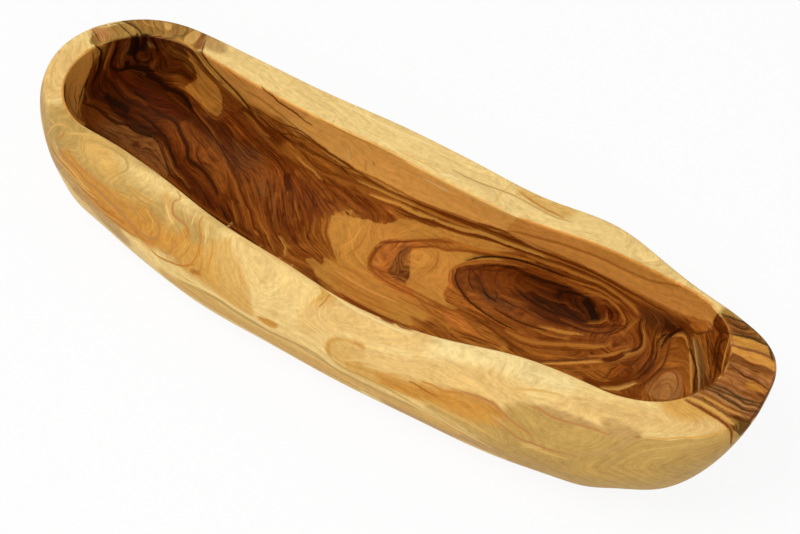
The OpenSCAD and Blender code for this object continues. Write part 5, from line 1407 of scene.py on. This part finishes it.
# Each pattern darkens the wood where it is low and lightens it where it is high
SHADES = (
    (broad, 0.54, 0.34, strength, (0.56, 0.45, 0.34)), (broad, 0.52, 0.70, strength, (1.40, 1.40, 1.30)),
    (fine, 0.52, 0.34, strength, (0.60, 0.50, 0.40)), (fine, 0.54, 0.70, strength, (1.35, 1.35, 1.30)),
    (grit, 0.50, 0.34, coarse, (0.62, 0.52, 0.42)), (grit, 0.50, 0.66, coarse, (1.32, 1.30, 1.25)),
    (mottle, 0.52, 0.32, 0.30, (0.78, 0.72, 0.62)), (mottle, 0.52, 0.72, 0.30, (1.18, 1.18, 1.12)),
)
colour = ground
for pattern, none, full, share, tint in SHADES:
    colour = tinted(colour, sums("MULTIPLY", slope(pattern, none, full), share), tint)
for ring, thin in ((rings, 0.035), (close_rings, 0.05)):
    line = slope(sums("ABSOLUTE", sums("SUBTRACT", ring, 0.5)), thin, 0.0)
    line = sums("MULTIPLY", line, slope(patchy, 0.38, 0.58, 0.25, 1.0))
    colour = tinted(colour, sums("MULTIPLY", line, hairs), (0.50, 0.38, 0.28))

vigour = sums("MULTIPLY", slope(fine, 0.25, 0.6, 0.86, 1.0), slope(patchy, 0.35, 0.6, 0.9, 1.0))
edge = slope(value, 0.42, 0.12, 0.8, 0.35)
shade = sums("MULTIPLY_ADD", heartwood, 0.27, 0.15)
marks = 0.0
for k in range(PATCH_SHEETS, SHEETS):
    colour, mask = drawn(colour, k, edge, shade, vigour)
    marks = sums("ADD", marks, mask)

bump = add("ShaderNodeBump", {"Height": sums("MULTIPLY_ADD", fine, 0.6, sums("MULTIPLY", marks, -0.25)),
                              "Strength": 0.25, "Distance": 0.00025})
shine = sums("MULTIPLY_ADD", fine, 0.14, 0.40)
surface = add("ShaderNodeBsdfPrincipled", {
    "Base Color": colour, "Roughness": shine, "Normal": bump.outputs[0],
    "IOR": 1.45, "Specular IOR Level": 0.07, "Specular Tint": (1.0, 0.72, 0.42, 1)})
add("ShaderNodeOutputMaterial", {0: surface.outputs[0]})
mesh.materials.append(olive_wood)

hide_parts("bowl")
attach(bowl, "root")

# The studio. A pale floor that shows white, with a soft shadow under the bowl.

FLOOR_HALF, FLOOR_BELOW = 3.0, 0.0002
floor_mesh = bpy.data.meshes.new("floor")
sheet = bmesh.new()
bmesh.ops.create_grid(sheet, x_segments=1, y_segments=1, size=FLOOR_HALF)
sheet.to_mesh(floor_mesh)
sheet.free()
floor = bpy.data.objects.new("floor", floor_mesh)
floor.location.z = -FLOOR_BELOW
bpy.context.scene.collection.objects.link(floor)
paper = bpy.data.materials.new("floor_paper")
paper.use_nodes = True
nodes, links = paper.node_tree.nodes, paper.node_tree.links
nodes.clear()


def seen():
    """1 where the camera sees a thing, straight or through a shine or a clear piece."""
    path = add("ShaderNodeLightPath").outputs
    shone = sums("MAXIMUM", path["Is Camera Ray"], path["Is Glossy Ray"])
    return sums("MAXIMUM", shone, path["Is Transmission Ray"])


PAPER, WHITE = (0.86, 0.86, 0.86, 1), (1, 1, 1, 1)
SHADOWLESS = 0.9
matt = add("ShaderNodeBsdfDiffuse", {"Color": PAPER})
bright = add("ShaderNodeEmission", {"Color": WHITE, "Strength": 1.0})
lit = add("ShaderNodeMixShader", {0: sums("MULTIPLY", seen(), SHADOWLESS), 1: matt.outputs[0],
                                  2: bright.outputs[0]})
add("ShaderNodeOutputMaterial", {0: lit.outputs[0]})
floor_mesh.materials.append(paper)

# Lights and camera. A broad soft lamp from the left and above, a fill from the
# room, and a long lens that looks down at the bowl from the front right.

room = bpy.data.worlds.new("room")
bpy.context.scene.world = room
room.use_nodes = True
nodes, links = room.node_tree.nodes, room.node_tree.links
nodes.clear()
ROOM_LIGHT = 0.45
glow = sums("MULTIPLY_ADD", seen(), 1 - ROOM_LIGHT, ROOM_LIGHT)
add("ShaderNodeOutputWorld", {0: add("ShaderNodeBackground", {"Color": WHITE, "Strength": glow}).outputs[0]})


LAMP_AIM = Vector((0, 0, 0.03))


def lamp(name, place, size, power):
    """A square soft lamp that faces the bowl."""
    data = bpy.data.lights.new(name, "AREA")
    data.shape, data.size, data.energy = "SQUARE", size, power
    thing = bpy.data.objects.new(name, data)
    thing.location = place
    thing.rotation_euler = (LAMP_AIM - Vector(place)).to_track_quat("-Z", "Y").to_euler()
    bpy.context.scene.collection.objects.link(thing)


lamp("key", (-0.65, -0.5, 1.7), 1.1, 16)
lamp("fill", (0.8, -1.1, 1.3), 1.1, 8.5)

lens = bpy.data.cameras.new("camera")
lens.lens, lens.sensor_width = 114.4, 36.0
lens.clip_start, lens.clip_end = 0.05, 20.0
camera = bpy.data.objects.new("camera", lens)
camera.location = EYE * MM
camera.rotation_euler = (-EYE_BACK).to_track_quat("-Z", "Y").to_euler()
bpy.context.scene.collection.objects.link(camera)
bpy.context.scene.camera = camera
bpy.context.scene.view_settings.view_transform = "Standard"
